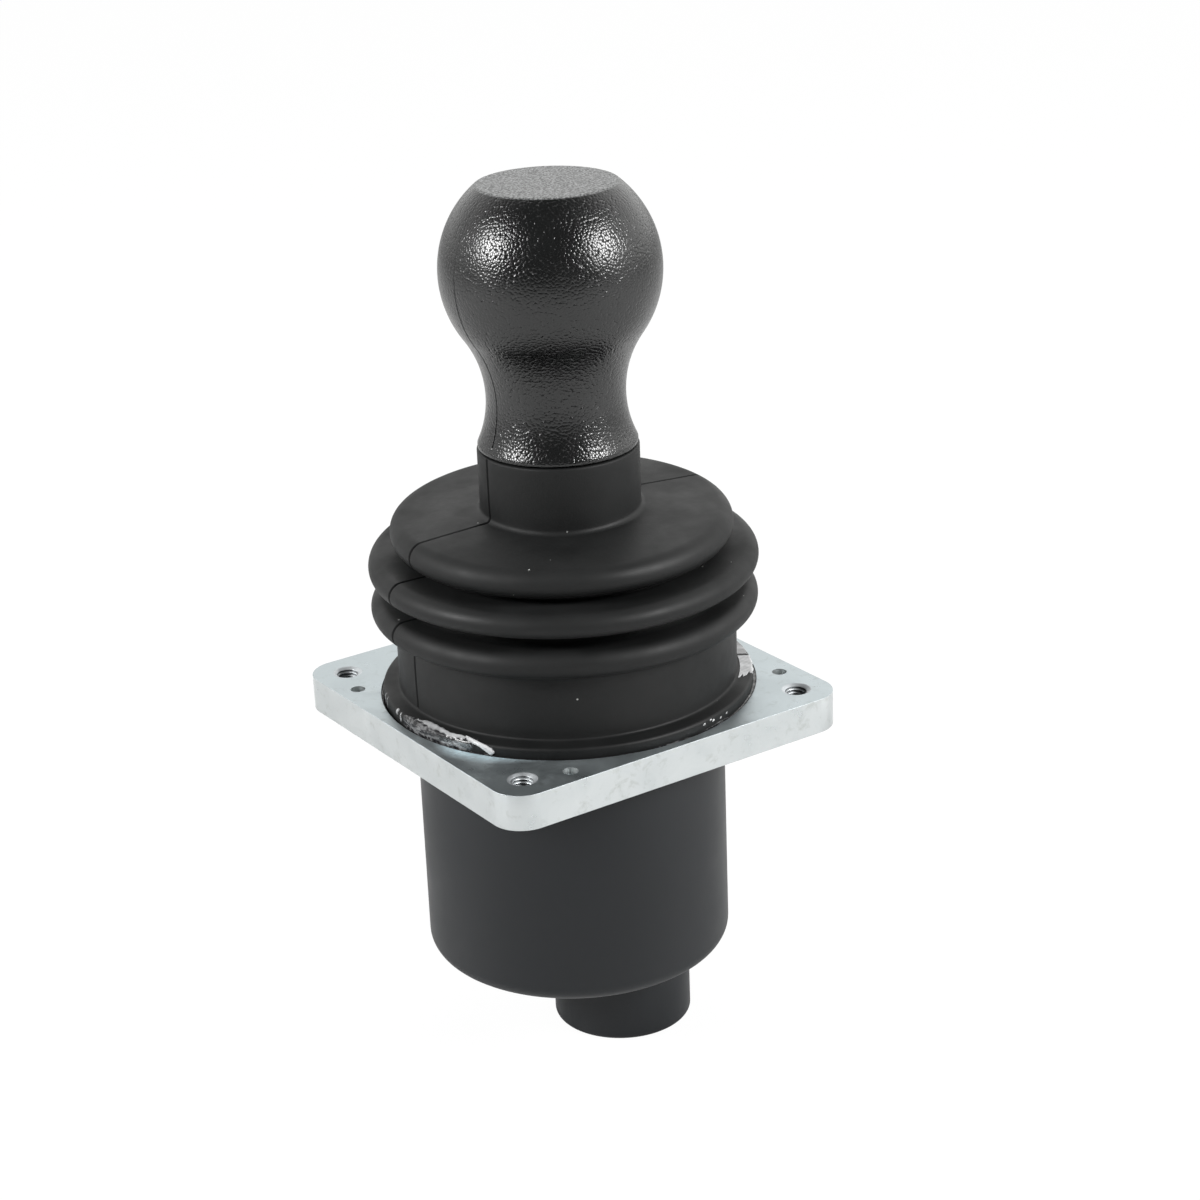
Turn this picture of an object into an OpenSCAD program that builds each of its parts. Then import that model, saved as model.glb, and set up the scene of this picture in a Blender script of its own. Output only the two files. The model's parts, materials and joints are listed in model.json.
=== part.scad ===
// Two-axis, spring-return industrial joystick, held by its flange under a panel.
// Origin: centre of the flange plate's top face. +Z runs up the stick at rest.
// X tilt turns the gimbal ring in the frame; Y tilt turns the stick in the ring and
// carries the slotted bail with it.

/* [Flange plate] */
// Side of the square flange plate
plate_w = 88; // [87:0.5:120]
// Thickness of the flange plate
plate_t = 8; // [7:0.5:12]
// Radius of the plate's corners
plate_corner_r = 7; // [3:0.5:8]
// Distance between tapped holes along one side
panel_pitch = 72.5; // [72:0.5:76]
// Major diameter of the tapped holes
panel_hole_d = 5; // [4:0.5:6]
// Outer diameter of the countersink over a tapped hole
panel_csk_d = 6.6; // [6.2:0.1:7.5]
// Diameter of the small drilled holes
aux_hole_d = 3.3; // [2.5:0.1:4]
// Depth of the small drilled holes
aux_hole_depth = 5; // [3:0.5:6]
// Distance of a small hole from its tapped hole, along the side
aux_along = 9.95; // [8:0.05:13]
// Distance of a small hole from its tapped hole, towards the edge
aux_out = 3.1; // [0:0.1:3.5]
// Depth of the round seat that takes the boot's flange
seat_depth = 3; // [2:0.5:4]
// Diameter of the plate's central bore
plate_bore_d = 50; // [46:0.5:50]

/* [Housing] */
// Outer diameter of the housing can
can_d = 69.3; // [68:0.1:84]
// Wall and floor of the can
can_wall = 2.5; // [2:0.1:3]
// Height of the can below the plate
can_h = 55.2; // [54:0.2:80]
// Radius round the can's lower edge
can_edge_r = 3.8; // [1:0.1:5]
// Cord diameter of the ring seal on the can's rim
rim_seal_d = 1.3; // [1:0.1:1.4]

/* [Boot] */
// Wall of the rubber boot
boot_wall = 2; // [1.5:0.1:2.4]
// Wall of the boot's neck
boot_neck_wall = 2.2; // [1.5:0.1:3]
// Radius of the boot's flange
boot_flange_r = 41.4; // [40:0.1:42]
// Height of the boot's flange above the plate
boot_flange_h = 2.3; // [2:0.1:4]
// Radius of the straight skirt
boot_skirt_r = 37.8; // [37:0.1:38.5]
// Radius of the boot's top fold
top_fold_r = 37.7; // [34:0.1:40]
// Height of the top fold's widest line
top_fold_z = 37.9; // [37.5:0.1:39]
// Rounding of the top fold's edge
top_fold_edge_r = 3.3; // [2.6:0.1:4]
// Radius of the middle fold
mid_fold_r = 42.9; // [40:0.05:46]
// Height of the middle fold's widest line
mid_fold_z = 30.3; // [30:0.1:30.6]
// Rounding of the middle fold's edge
mid_fold_edge_r = 3; // [2.6:0.1:3.2]
// Radius of the lowest fold
low_fold_r = 42.7; // [40:0.1:46]
// Height of the lowest fold's widest line
low_fold_z = 20.8; // [20:0.1:21.5]
// Rounding of the lowest fold's edge
low_fold_edge_r = 3; // [2.6:0.1:3.4]
// Radius at the bottom of the upper groove
upper_groove_r = 33; // [30:0.1:34]
// Radius at the bottom of the lower groove
lower_groove_r = 35.3; // [33:0.1:37]
// Width of the upper groove
upper_groove_w = 1.3; // [0.8:0.1:1.6]
// Slope of the top fold's upper side, in degrees
boot_slope = 3; // [1:0.5:6]
// Fillet at the foot of the neck
neck_root_r = 1.2; // [0.8:0.1:2.4]
// Fillet at the top of the skirt
skirt_root_r = 2.2; // [1:0.1:3]
// Rounding of the boot flange's edge
flange_edge_r = 0.7; // [0.3:0.1:1]

/* [Knob] */
// Radius of the ball
ball_r = 23.9; // [22:0.1:28]
// Height of the ball's centre
ball_z = 95.03; // [92:0.01:110]
// Height of the ball's centre above its flat top
ball_flat_h = 18.57; // [16:0.01:20]
// Rounding round the flat top
ball_flat_edge_r = 1.2; // [0.5:0.1:2]
// Radius of the waist
waist_r = 15.15; // [12.5:0.05:17]
// Height of the waist
waist_z = 67.46; // [66:0.01:72]
// Radius of the knob's foot
knob_foot_r = 17.45; // [16.5:0.05:19]
// Height of the knob's lower edge
knob_z = 56.4; // [55:0.1:58]
// Height of the straight foot
knob_foot_h = 1.6; // [1:0.1:3]
// Radius of the spigot that the boot's neck grips
spigot_r = 15.2; // [14:0.1:16]
// Length of the spigot
spigot_h = 9; // [6:0.5:10]
// Outer radius of the brass insert
insert_r = 8; // [7:0.1:10]
// Length of the brass insert
insert_h = 24; // [16:1:30]

/* [Stick] */
// Depth of the pivot axes below the plate's top face
pivot_depth = 19; // [19:0.5:22]
// Diameter of the shaft
shaft_d = 10; // [8:0.5:11]
// Diameter of the shaft's lower spigot
shaft_tail_d = 8; // [6:0.5:8]
// Depth of the thread in the knob's insert
thread_depth = 22; // [12:1:26]
// Radius of the barrel-shaped pivot block
block_r = 8.8; // [8:0.1:9.2]
// Height of the flat on the block that the shaft's shoulder seats on
block_top = 8; // [7:0.1:8.5]
// Depth of the block below the pivot axis
block_foot = 7; // [5:0.1:8]
// Width across flats of the jam nut
jam_nut_af = 16; // [13:1:17]
// Thickness of the jam nut
jam_nut_t = 5; // [4:0.5:6]

/* [Gimbal and bail] */
// Tilt each way on both axes, in degrees
tilt_deg = 20; // [10:1:20]
// Diameter of every pivot pin
pin_d = 5; // [4:0.5:5]
// Wall of the gimbal ring
ring_wall = 5; // [4:0.1:5]
// Height of the gimbal ring
ring_h = 10; // [8:0.5:10]
// Gap between the bail's bridge and the gimbal ring with both axes at their limit
bail_gap = 0.3; // [0.2:0.1:0.6]
// Thickness of the bail's bridge
bail_t = 3; // [2:0.1:3]
// Thickness of the bail's arms
bail_arm_t = 2; // [1.5:0.1:2.5]
// Width of metal beside the bail's slot
bail_rail = 2.2; // [2:0.1:2.5]
// Wall of the frame's tube
frame_wall = 3.3; // [3:0.1:4]
// Depth of the frame's foot below the pivot axes
frame_drop = 14; // [14:0.5:16]
// Thickness of the frame's flange
frame_flange_t = 2.5; // [2:0.1:3]
// Thickness of the travel gate
gate_t = 2.5; // [2:0.1:3]
// Outer diameter of the pivot bushes
bush_d = 7; // [6:0.5:8]

/* [Centring springs] */
// Wire diameter
spring_wire_d = 1; // [0.8:0.1:1.1]
// Mean radius of the coil
spring_r = 3.9; // [3.6:0.1:4.4]
// Full turns between the two legs' half turn
spring_turns = 2; // [1:1:2]
// Length of the legs below the coil's axis
spring_leg = 12.5; // [11:0.5:13]

/* [Sensors and control board] */
// Radius of the sensing magnets
magnet_r = 3; // [2:0.1:3.2]
// Thickness of the sensing magnets
magnet_t = 2; // [1.5:0.1:2]
// Gap between a magnet's holder and its sensor
magnet_gap = 0.6; // [0.4:0.1:0.8]
// Thickness of the small sensor boards
sensor_board_t = 1; // [0.8:0.1:1.2]
// Thickness of the control board
board_t = 1.6; // [1:0.1:2]
// Length of the spacers between the frame and the control board
spacer_h = 6.4; // [5:0.1:8]

/* [Connector] */
// Outer radius of the connector shell
shell_r = 15.85; // [15:0.05:19]
// Length of the shell below the can
shell_h = 20.1; // [18:0.1:26]
// Offset of the connector from the stick's axis along X
shell_x = 7.2; // [0:0.1:12]
// Offset of the connector from the stick's axis along Y
shell_y = -6.1; // [-12:0.1:0]
// Radius round the shell's lower edge
shell_edge_r = 1.1; // [0.4:0.1:1.5]
// Radius of the socket
socket_r = 12.9; // [12:0.1:13.5]
// Depth of the socket
socket_h = 10; // [8:0.5:12]
// Radius of the shell's threaded neck
neck_r = 11.9; // [11.5:0.1:12.5]
// Number of contacts
contacts = 6; // [4:1:8]
// Radius of the circle of contacts
contact_ring_r = 6.2; // [5:0.1:7.5]

/* [Fits and screws] */
// Radial clearance of a pin that turns in a bush or bore
running_gap = 0.03; // [0.01:0.01:0.08]
// Radial clearance of parts that slide together and stay put
seat_gap = 0.05; // [0.02:0.01:0.1]
// Radial clearance of the frame in the plate's bore
locating_gap = 0.2; // [0.1:0.05:0.3]
// Clearance of the stick in the bail's slot
slot_gap = 0.4; // [0.35:0.05:0.5]
// Gap between rubber and its rigid neighbours
soft_gap = 0.3; // [0.2:0.05:0.5]
// Width of the gap that the sealant fills round the boot's flange
seal_gap = 0.6; // [0.4:0.1:1]
// Diameter of the stack and board screws
screw_d = 3; // [2.5:0.5:3]
// Head diameter of those screws
screw_head_d = 5.5; // [5:0.1:6]
// Radial clearance round a screw in a through hole
screw_gap = 0.2; // [0.1:0.05:0.3]
// Engagement of the stack screws in the can's bosses
screw_grip = 10; // [6:1:14]

/* [Hidden] */
$fn = 96;
over = 1;
sink = 0.4;

// Sides of the object: the sensors look at +X and +Y, the springs are at -X and -Y
gimbal_sensor_side = 0;
gimbal_spring_side = 180;
bail_sensor_side = 90;
bail_spring_side = 270;

// Radii worked out from the can inwards
can_r = can_d / 2;
can_in_r = can_r - can_wall;
boss_r = 3.6;
boss_sunk = 0.95;
flange_margin = 4;
screw_room = 4.7;

// Stack screws: at the can's wall, but with their flange inside the boot's skirt
skirt_in_r = boot_skirt_r - boot_wall - soft_gap;
stack_ring_r = min(can_in_r - boss_r + boss_sunk, skirt_in_r - flange_margin);
stack_flange_r = stack_ring_r + flange_margin;
boss_h = screw_grip + 8;
boss_web_w = 4;
frame_r = stack_ring_r - screw_room;
frame_in_r = frame_r - frame_wall;
plate_bore_r = max(plate_bore_d / 2, frame_r + locating_gap);
seat_r = boot_flange_r + seal_gap;
board_r = can_in_r - 1.15;

// Heights
pivot_z = -pivot_depth;
frame_top_z = -seat_depth + frame_flange_t;
frame_foot_z = pivot_z - frame_drop;
gate_top_z = frame_top_z + gate_t;
can_foot_z = -plate_t - can_h;
board_top_z = frame_foot_z - spacer_h;
board_foot_z = board_top_z - board_t;

// Gimbal ring, sized to turn inside the frame
ring_x = frame_in_r - 7;
ring_y = frame_in_r - 8;
ring_in_x = ring_x - ring_wall;
ring_in_y = ring_y - ring_wall;
ring_corner_r = 3;
block_w = 2 * ring_in_y - 0.6;

// Bail
bail_arm_in = ring_y + 3;
bail_arm_out = bail_arm_in + bail_arm_t;
bail_slot_half = shaft_d / 2 + slot_gap;
bail_bridge_half = bail_slot_half + bail_rail;
bail_rise = ring_h / 2 + bail_gap + (ring_y + bail_bridge_half) * tan(tilt_deg);
bail_slot_len = (bail_rise + bail_t) * tan(tilt_deg) + shaft_d / 2 / cos(tilt_deg) + 0.6;

// Square opening of the gate: clears the shaft with both axes at their limit
gate_reach = gate_top_z - pivot_z;
gate_half = gate_reach * tan(tilt_deg) / cos(tilt_deg) + shaft_d / 2 / cos(tilt_deg) + 0.7;

// Pins and what rides on their outer ends, measured out from the stick's axis
pin_r = pin_d / 2;
spring_start = frame_r + 0.3;
spring_pitch = spring_wire_d + 0.05;
spring_len = (spring_turns + 0.5) * spring_pitch + spring_wire_d;
lever_start = spring_start + spring_len + 0.4;
lever_t = 1.2;
tab_half = spring_r - spring_wire_d / 2 - 0.05;
lever_tab_in = spring_r + 2.2;
lever_tab_out = lever_tab_in + 2.4;
frame_tab_in = lever_tab_out + 0.8;
frame_tab_out = frame_tab_in + 2.4;
holder_start = frame_r + 0.3;
holder_hub = 1;
holder_end = holder_start + holder_hub + magnet_t + 0.2;
sensor_t = 1;
sensor_board_start = holder_end + magnet_gap + sensor_t;
sensor_board_half = 7;
sensor_board_up = 8;
sensor_board_down = 11;
post_y = 5;
post_down = 8.5;
post_r = 1.8;
post_tip_r = 0.9;

// Standoffs of the control board
spacer_ring_r = frame_in_r - 0.5;
frame_foot_in_r = frame_in_r - 5.5;

// Stick, knob and boot
spigot_foot_z = knob_z - spigot_h;
insert_foot_z = spigot_foot_z - 1;
shaft_top_z = insert_foot_z + thread_depth;
ball_top_z = ball_z + ball_flat_h;
boot_neck_r = spigot_r + soft_gap + boot_neck_wall;
boot_top_z = knob_z - soft_gap;

// Waist curve: a circle that touches the ball and is waist_r from the axis
waist_curve_r = ((ball_z - waist_z) ^ 2 + waist_r ^ 2 - ball_r ^ 2) / (2 * (ball_r - waist_r));
waist_curve_x = waist_r + waist_curve_r;
waist_joint = ball_r / (ball_r + waist_curve_r);
waist_joint_x = waist_curve_x * waist_joint;
waist_joint_z = ball_z + (waist_z - ball_z) * waist_joint;
flat_edge_x = sqrt((ball_r - ball_flat_edge_r) ^ 2 - (ball_flat_h - ball_flat_edge_r) ^ 2);
flat_joint_z = ball_z + (ball_flat_h - ball_flat_edge_r) * ball_r / (ball_r - ball_flat_edge_r);

// Connector
shell_foot_z = can_foot_z - shell_h;
socket_floor_z = shell_foot_z + socket_h;
can_floor_z = can_foot_z + can_wall;
nut_t = 3.5;
neck_top_z = can_floor_z + nut_t + 1;
insert_bore_r = neck_r - 1.5;
plug_seat_h = 9.3;
contact_r = 0.75;
contact_top_z = socket_floor_z + plug_seat_h + 2;
header_h = 6;
lead_r = 0.6;
lead_pitch = 2.5;

// ---- shared shapes ----

// Round bar about Z between two heights
module bar(r, z0, z1) {
    translate([0, 0, min(z0, z1)]) cylinder(r = r, h = abs(z1 - z0));
}

// Round tube about Z between two heights
module tube(r_out, r_in, z0, z1) {
    difference() {
        bar(r_out, z0, z1);
        bar(r_in, min(z0, z1) - over, max(z0, z1) + over);
    }
}

// Children placed on one side of the pivot: local Z points outwards and local X down
module side(angle) {
    translate([0, 0, pivot_z]) rotate([0, 0, angle]) rotate([0, 90, 0]) children();
}

// Children repeated at four corners of a circle
module at_corners(r) {
    for (a = [45:90:315]) rotate([0, 0, a]) translate([r, 0, 0]) children();
}

// Outline of a rectangle with rounded corners
module rounded_outline(half_x, half_y, r) {
    square([2 * half_x, 2 * (half_y - r)], center = true);
    square([2 * (half_x - r), 2 * half_y], center = true);
    for (x = [-1, 1], y = [-1, 1]) translate([x * (half_x - r), y * (half_y - r)]) circle(r);
}

// Hexagonal prism about Z, given its width across flats
module hexagon(af, z0, z1) {
    translate([0, 0, z0]) cylinder(r = af / 2 / cos(30), h = z1 - z0, $fn = 6);
}

// Pan-head machine screw pointing down, its head's underside at z = 0
module screw(grip, head_t) {
    difference() {
        union() {
            bar(screw_head_d / 2, 0, head_t);
            bar(screw_d / 2, -grip, 0);
        }
        hexagon(2.5, head_t - 1.4, head_t + over);
    }
}

function unit(v) = v / norm(v);

// Round wire swept along a list of points; ref is a direction that the path never takes
module wire(points, r, sides, ref) {
    last = len(points) - 1;
    rings = [
        for (i = [0:last])
            let (
                t = unit(points[min(i + 1, last)] - points[max(i - 1, 0)]),
                u = unit(cross(t, ref)),
                v = cross(t, u)
            )
            for (k = [0:sides - 1])
                points[i] + r * (cos(360 * k / sides) * u + sin(360 * k / sides) * v)
    ];
    skin = [
        for (i = [0:last - 1], k = [0:sides - 1])
            let (a = i * sides + k, b = i * sides + (k + 1) % sides)
            [a, a + sides, b + sides, b]
    ];
    first_cap = [for (k = [0:sides - 1]) k];
    last_cap = [for (k = [sides - 1:-1:0]) last * sides + k];
    polyhedron(rings, concat(skin, [first_cap, last_cap]));
}

// ---- panel side ----

module flange_plate() {
    color("gainsboro")
    difference() {
        translate([0, 0, -plate_t])
            linear_extrude(plate_t) rounded_outline(plate_w / 2, plate_w / 2, plate_corner_r);
        bar(seat_r, -seat_depth, over);
        bar(plate_bore_r, -plate_t - over, 0);
        for (a = [0:90:270]) rotate([0, 0, a]) {
            translate([-panel_pitch / 2, -panel_pitch / 2, 0]) panel_hole();
            translate([aux_along - panel_pitch / 2, -aux_out - panel_pitch / 2, 0])
                bar(aux_hole_d / 2, -aux_hole_depth, over);
        }
        at_corners(stack_ring_r) bar(screw_d / 2 + screw_gap, -plate_t - over, 0);
    }
}

// Tapped hole with a 120 degree countersink
module panel_hole() {
    hole_r = panel_hole_d / 2;
    csk_r = panel_csk_d / 2;
    csk_depth = (csk_r - hole_r) / tan(60);
    bar(hole_r, -plate_t - over, over);
    translate([0, 0, -csk_depth])
        cylinder(r1 = hole_r, r2 = csk_r + over * tan(60), h = csk_depth + over);
}

module boot() {
    color("#2f3032")
    difference() {
        union() {
            boot_form(0);
            neck_fillet();
            skirt_fillet();
            boot_flange();
        }
        difference() {
            boot_form(boot_wall);
            boot_grooves(boot_wall);
        }
        boot_grooves(0);
        bar(boot_skirt_r - boot_wall, -seat_depth - over, over);
    }
}

// The boot's form without its grooves, drawn in by the given wall
module boot_form(wall) {
    neck_r = wall > 0 ? boot_neck_r - boot_neck_wall : boot_neck_r;
    top_x = top_fold_r - top_fold_edge_r;
    edge = slope_start(wall);
    bar(neck_r, top_fold_z, boot_top_z + (wall > 0 ? over : 0));
    ring(top_x, top_fold_z, top_fold_edge_r - wall);
    rotate_extrude()
        polygon([[0, mid_fold_z], [top_x, mid_fold_z], [top_x, top_fold_z], edge, [0, slope_z(0, wall)]]);
    fold(mid_fold_r, mid_fold_z, mid_fold_edge_r, wall);
    fold(low_fold_r, low_fold_z, low_fold_edge_r, wall);
    bar(min(mid_fold_r - mid_fold_edge_r, low_fold_r - low_fold_edge_r), low_fold_z, mid_fold_z);
    bar(boot_skirt_r - wall, 0, low_fold_z);
}

// The two grooves between the folds, widened all round by the given wall
module boot_grooves(wall) {
    upper_z = mid_fold_z + mid_fold_edge_r;
    lower_z = low_fold_z + low_fold_edge_r;
    groove(upper_groove_r, upper_z, upper_z + upper_groove_w, wall);
    groove(lower_groove_r, lower_z, mid_fold_z - mid_fold_edge_r, wall);
}

module groove(r, z0, z1, wall) {
    end_r = (z1 - z0) / 2 + wall;
    ring(r - wall + end_r, (z0 + z1) / 2, end_r);
    tube(mid_fold_r + over, r - wall + end_r, z0 - wall, z1 + wall);
}

// Solid ring of round section about Z
module ring(r, z, section_r) {
    translate([0, 0, z]) rotate_extrude() translate([r, 0]) circle(section_r);
}

// Where the top fold's rounded edge runs into its sloping upper side
function slope_start(wall) = let (r = top_fold_edge_r - wall) [
    top_fold_r - top_fold_edge_r + r * sin(boot_slope),
    top_fold_z + r * cos(boot_slope)
];

// Height of the top fold's upper side at a radius
function slope_z(x, wall) = slope_start(wall).y + (slope_start(wall).x - x) * tan(boot_slope);

// One fold of the bellows: a rounded edge on a flat-sided disc
module fold(r, z, edge_r, wall) {
    ring(r - edge_r, z, edge_r - wall);
    bar(r - edge_r, z - edge_r + wall, z + edge_r - wall);
}

// Fillet between the neck and the sloping side, sunk a little into both
module neck_fillet() {
    r = neck_root_r;
    x = boot_neck_r + r;
    z = slope_z(x, 0) + r / cos(boot_slope);
    difference() {
        rotate_extrude()
            polygon([[x, z], [boot_neck_r - sink, z], [boot_neck_r - sink, slope_z(boot_neck_r, 0) - sink],
                [x - (r + sink) * sin(boot_slope), z - (r + sink) * cos(boot_slope)]]);
        ring(x, z, r);
    }
}

// Fillet between the skirt and the lowest fold, sunk a little into both
module skirt_fillet() {
    r = skirt_root_r;
    x = boot_skirt_r + r;
    fold_x = low_fold_r - low_fold_edge_r;
    reach = low_fold_edge_r + r;
    z = low_fold_z - sqrt(reach ^ 2 - (x - fold_x) ^ 2);
    joint = [x, z] + ([fold_x, low_fold_z] - [x, z]) * (r + sink) / reach;
    difference() {
        rotate_extrude() polygon([[x, z], joint, [boot_skirt_r - sink, joint.y], [boot_skirt_r - sink, z]]);
        ring(x, z, r);
    }
}

// Flange with a rounded edge and a top that falls away from the skirt
module boot_flange() {
    edge_x = boot_flange_r - flange_edge_r;
    bar(boot_flange_r, -seat_depth, boot_flange_h - flange_edge_r);
    ring(edge_x, boot_flange_h - flange_edge_r, flange_edge_r);
    rotate_extrude()
        polygon([[0, -seat_depth], [edge_x, -seat_depth], [edge_x, boot_flange_h],
            [boot_skirt_r, boot_flange_h + 0.3], [0, boot_flange_h + 0.3]]);
}

module sealant_bead() {
    color("silver")
    tube(seat_r - seat_gap, boot_flange_r + seat_gap, -seat_depth, 0.15);
}

// ---- housing ----

module housing_can() {
    color("#37393b")
    difference() {
        rotate_extrude() can_outline(can_r, can_foot_z, can_edge_r, -plate_t);
        difference() {
            rotate_extrude() can_outline(can_in_r, can_floor_z, can_edge_r - can_wall / 2, -plate_t + over);
            at_corners(stack_ring_r) boss_outside();
        }
        at_corners(stack_ring_r) bar(screw_d / 2 + seat_gap, -plate_t - boss_h + 2, 0);
        translate([0, 0, -plate_t - rim_seal_d - 0.05])
            tube(rim_seal_r() + 0.75, rim_seal_r() - 0.75, 0, 2 * over + rim_seal_d);
        translate([shell_x, shell_y, 0]) bar(neck_r + seat_gap, can_foot_z - over, can_floor_z + over);
    }
}

// A screw boss and the web that ties it to the can's wall
module boss_outside() {
    bar(boss_r, -plate_t - boss_h, -plate_t + 2 * over);
    translate([0, -boss_web_w / 2, -plate_t - boss_h])
        cube([can_in_r - stack_ring_r + over, boss_web_w, boss_h + 2 * over]);
}

function rim_seal_r() = (can_r + can_in_r) / 2;

// Half section of a solid round pot with a rounded lower edge
module can_outline(r, foot_z, edge_r, top_z) {
    translate([0, foot_z + edge_r]) square([r, top_z - foot_z - edge_r]);
    translate([0, foot_z]) square([r - edge_r, edge_r + over]);
    translate([r - edge_r, foot_z + edge_r]) circle(edge_r);
}

module rim_seal() {
    color("black")
    translate([0, 0, -plate_t - rim_seal_d / 2 - 0.03])
        rotate_extrude() translate([rim_seal_r(), 0]) circle(rim_seal_d / 2);
}

module stack_screws() {
    grip = gate_top_z + plate_t + screw_grip;
    color("dimgray")
    at_corners(stack_ring_r) translate([0, 0, gate_top_z]) screw(grip, 2.8);
}

// ---- pivot frame ----

module pivot_frame() {
    color("lightsteelblue")
    difference() {
        union() {
            bar(stack_flange_r, -seat_depth, frame_top_z);
            bar(frame_r, frame_foot_z, -seat_depth);
            for (s = [gimbal_spring_side, bail_spring_side]) side(s) spring_tab();
            for (s = [gimbal_sensor_side, bail_sensor_side]) side(s) sensor_posts();
        }
        bar(frame_in_r, frame_foot_z + 3, frame_top_z + over);
        bar(frame_foot_in_r, frame_foot_z - over, frame_top_z);
        at_corners(stack_ring_r) bar(screw_d / 2 + screw_gap, -seat_depth - over, frame_top_z + over);
        at_corners(spacer_ring_r) bar(screw_d / 2 + seat_gap, frame_foot_z - over, frame_foot_z + 3 + over);
        for (a = [0:90:270]) side(a) translate([0, 0, frame_in_r - 2]) cylinder(d = bush_d + 2 * seat_gap, h = 8);
        for (a = [45:90:315]) side(a) frame_window();
    }
}

// Window between two bearings, with round corners
module frame_window() {
    translate([-1, 0, frame_in_r - 6]) linear_extrude(20) rounded_outline(7, 6.5, 3);
}

// Fixed tab that both legs of a centring spring rest against
module spring_tab() {
    translate([frame_tab_in, -tab_half, frame_in_r + 1])
        cube([frame_tab_out - frame_tab_in, 2 * tab_half, lever_start - 0.4 - frame_in_r - 1]);
}

// Stepped posts that a sensor board is staked on
module sensor_posts() {
    for (y = [-post_y, post_y]) translate([post_down, y, frame_r - 1.5]) {
        cylinder(r = post_r, h = sensor_board_start - frame_r + 1.5);
        cylinder(r = post_tip_r, h = sensor_board_start + sensor_board_t + 0.4 - frame_r + 1.5);
    }
}

// Square-holed plate over the frame that stops the stick
module travel_gate() {
    color("slategray")
    difference() {
        bar(stack_flange_r, frame_top_z, gate_top_z);
        translate([0, 0, frame_top_z - over])
            linear_extrude(gate_t + 2 * over) rounded_outline(gate_half, gate_half, 3);
        at_corners(stack_ring_r) bar(screw_d / 2 + screw_gap, frame_top_z - over, gate_top_z + over);
    }
}

// Flanged bush pressed into the frame's wall from inside
module bush() {
    intersection() {
        union() {
            tube(bush_d / 2, pin_r + running_gap, frame_in_r - 1.3, frame_r);
            tube(bush_d / 2 + 0.9, pin_r + running_gap, frame_in_r - 1.3, frame_in_r - 0.5);
        }
        translate([-10, 0, 0]) rotate([0, 90, 0]) cylinder(r = frame_r, h = 20);
    }
}

module gimbal_bushes() {
    color("peru")
    for (s = [gimbal_sensor_side, gimbal_spring_side]) side(s) bush();
}

module bail_bushes() {
    color("peru")
    for (s = [bail_sensor_side, bail_spring_side]) side(s) bush();
}

// ---- gimbal ----

module gimbal_ring() {
    color("darkgray")
    difference() {
        translate([0, 0, pivot_z - ring_h / 2]) linear_extrude(ring_h)
        difference() {
            rounded_outline(ring_x, ring_y, ring_corner_r);
            rounded_outline(ring_in_x, ring_in_y, 1.5);
        }
        for (s = [0, 180]) side(s) bar(pin_r + 0.01, ring_in_x - over, ring_x + over);
        for (s = [90, 270]) side(s) bar(pin_r + running_gap, ring_in_y - over, ring_y + over);
    }
}

module gimbal_spring_pin() {
    color("silver") side(gimbal_spring_side) bar(pin_r, ring_in_x, lever_start + lever_t);
}

module gimbal_sensor_pin() {
    color("silver") side(gimbal_sensor_side) bar(pin_r, ring_in_x, holder_start + holder_hub);
}

module gimbal_lever() {
    color("goldenrod") side(gimbal_spring_side) lever();
}

module bail_lever() {
    color("goldenrod") side(bail_spring_side) lever();
}

// Lever on a pin's end: its tab lies between the spring's legs
module lever() {
    translate([0, 0, lever_start]) linear_extrude(lever_t)
    difference() {
        union() {
            circle(pin_r + 1.5);
            translate([0, -tab_half]) square([lever_tab_out, 2 * tab_half]);
        }
        circle(pin_r + 0.01);
    }
    translate([lever_tab_in, -tab_half, spring_start + 0.2])
        cube([lever_tab_out - lever_tab_in, 2 * tab_half, lever_start - spring_start - 0.2]);
}

// Centring spring: a short coil round the pin with two legs pointing down
module torsion_spring() {
    steps = 20;
    turn = 360 * spring_turns + 180;
    count = ceil(turn / 360 * steps);
    z0 = spring_start + spring_wire_d / 2;
    path = concat(
        [[spring_leg, -spring_r, z0], [1, -spring_r, z0]],
        [for (i = [0:count]) let (a = turn * i / count)
            [-spring_r * sin(a), -spring_r * cos(a), z0 + spring_pitch * a / 360]],
        [[1, spring_r, z0 + spring_pitch * turn / 360],
         [spring_leg, spring_r, z0 + spring_pitch * turn / 360]]);
    wire(path, spring_wire_d / 2, 8, [0, 0, 1]);
}

module gimbal_spring() {
    color("lightgray") side(gimbal_spring_side) torsion_spring();
}

module bail_spring() {
    color("lightgray") side(bail_spring_side) torsion_spring();
}

module magnet_holder() {
    difference() {
        bar(magnet_r + 1.1, holder_start, holder_end);
        bar(pin_r + 0.01, holder_start - over, holder_start + holder_hub);
        bar(magnet_r + 0.02, holder_start + holder_hub, holder_end + over);
    }
}

module magnet() {
    bar(magnet_r, holder_start + holder_hub, holder_start + holder_hub + magnet_t);
}

module gimbal_magnet_holder() {
    color("ivory") side(gimbal_sensor_side) magnet_holder();
}

module gimbal_magnet() {
    color("gray") side(gimbal_sensor_side) magnet();
}

module bail_magnet_holder() {
    color("ivory") side(bail_sensor_side) magnet_holder();
}

module bail_magnet() {
    color("gray") side(bail_sensor_side) magnet();
}

// ---- bail ----

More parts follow.
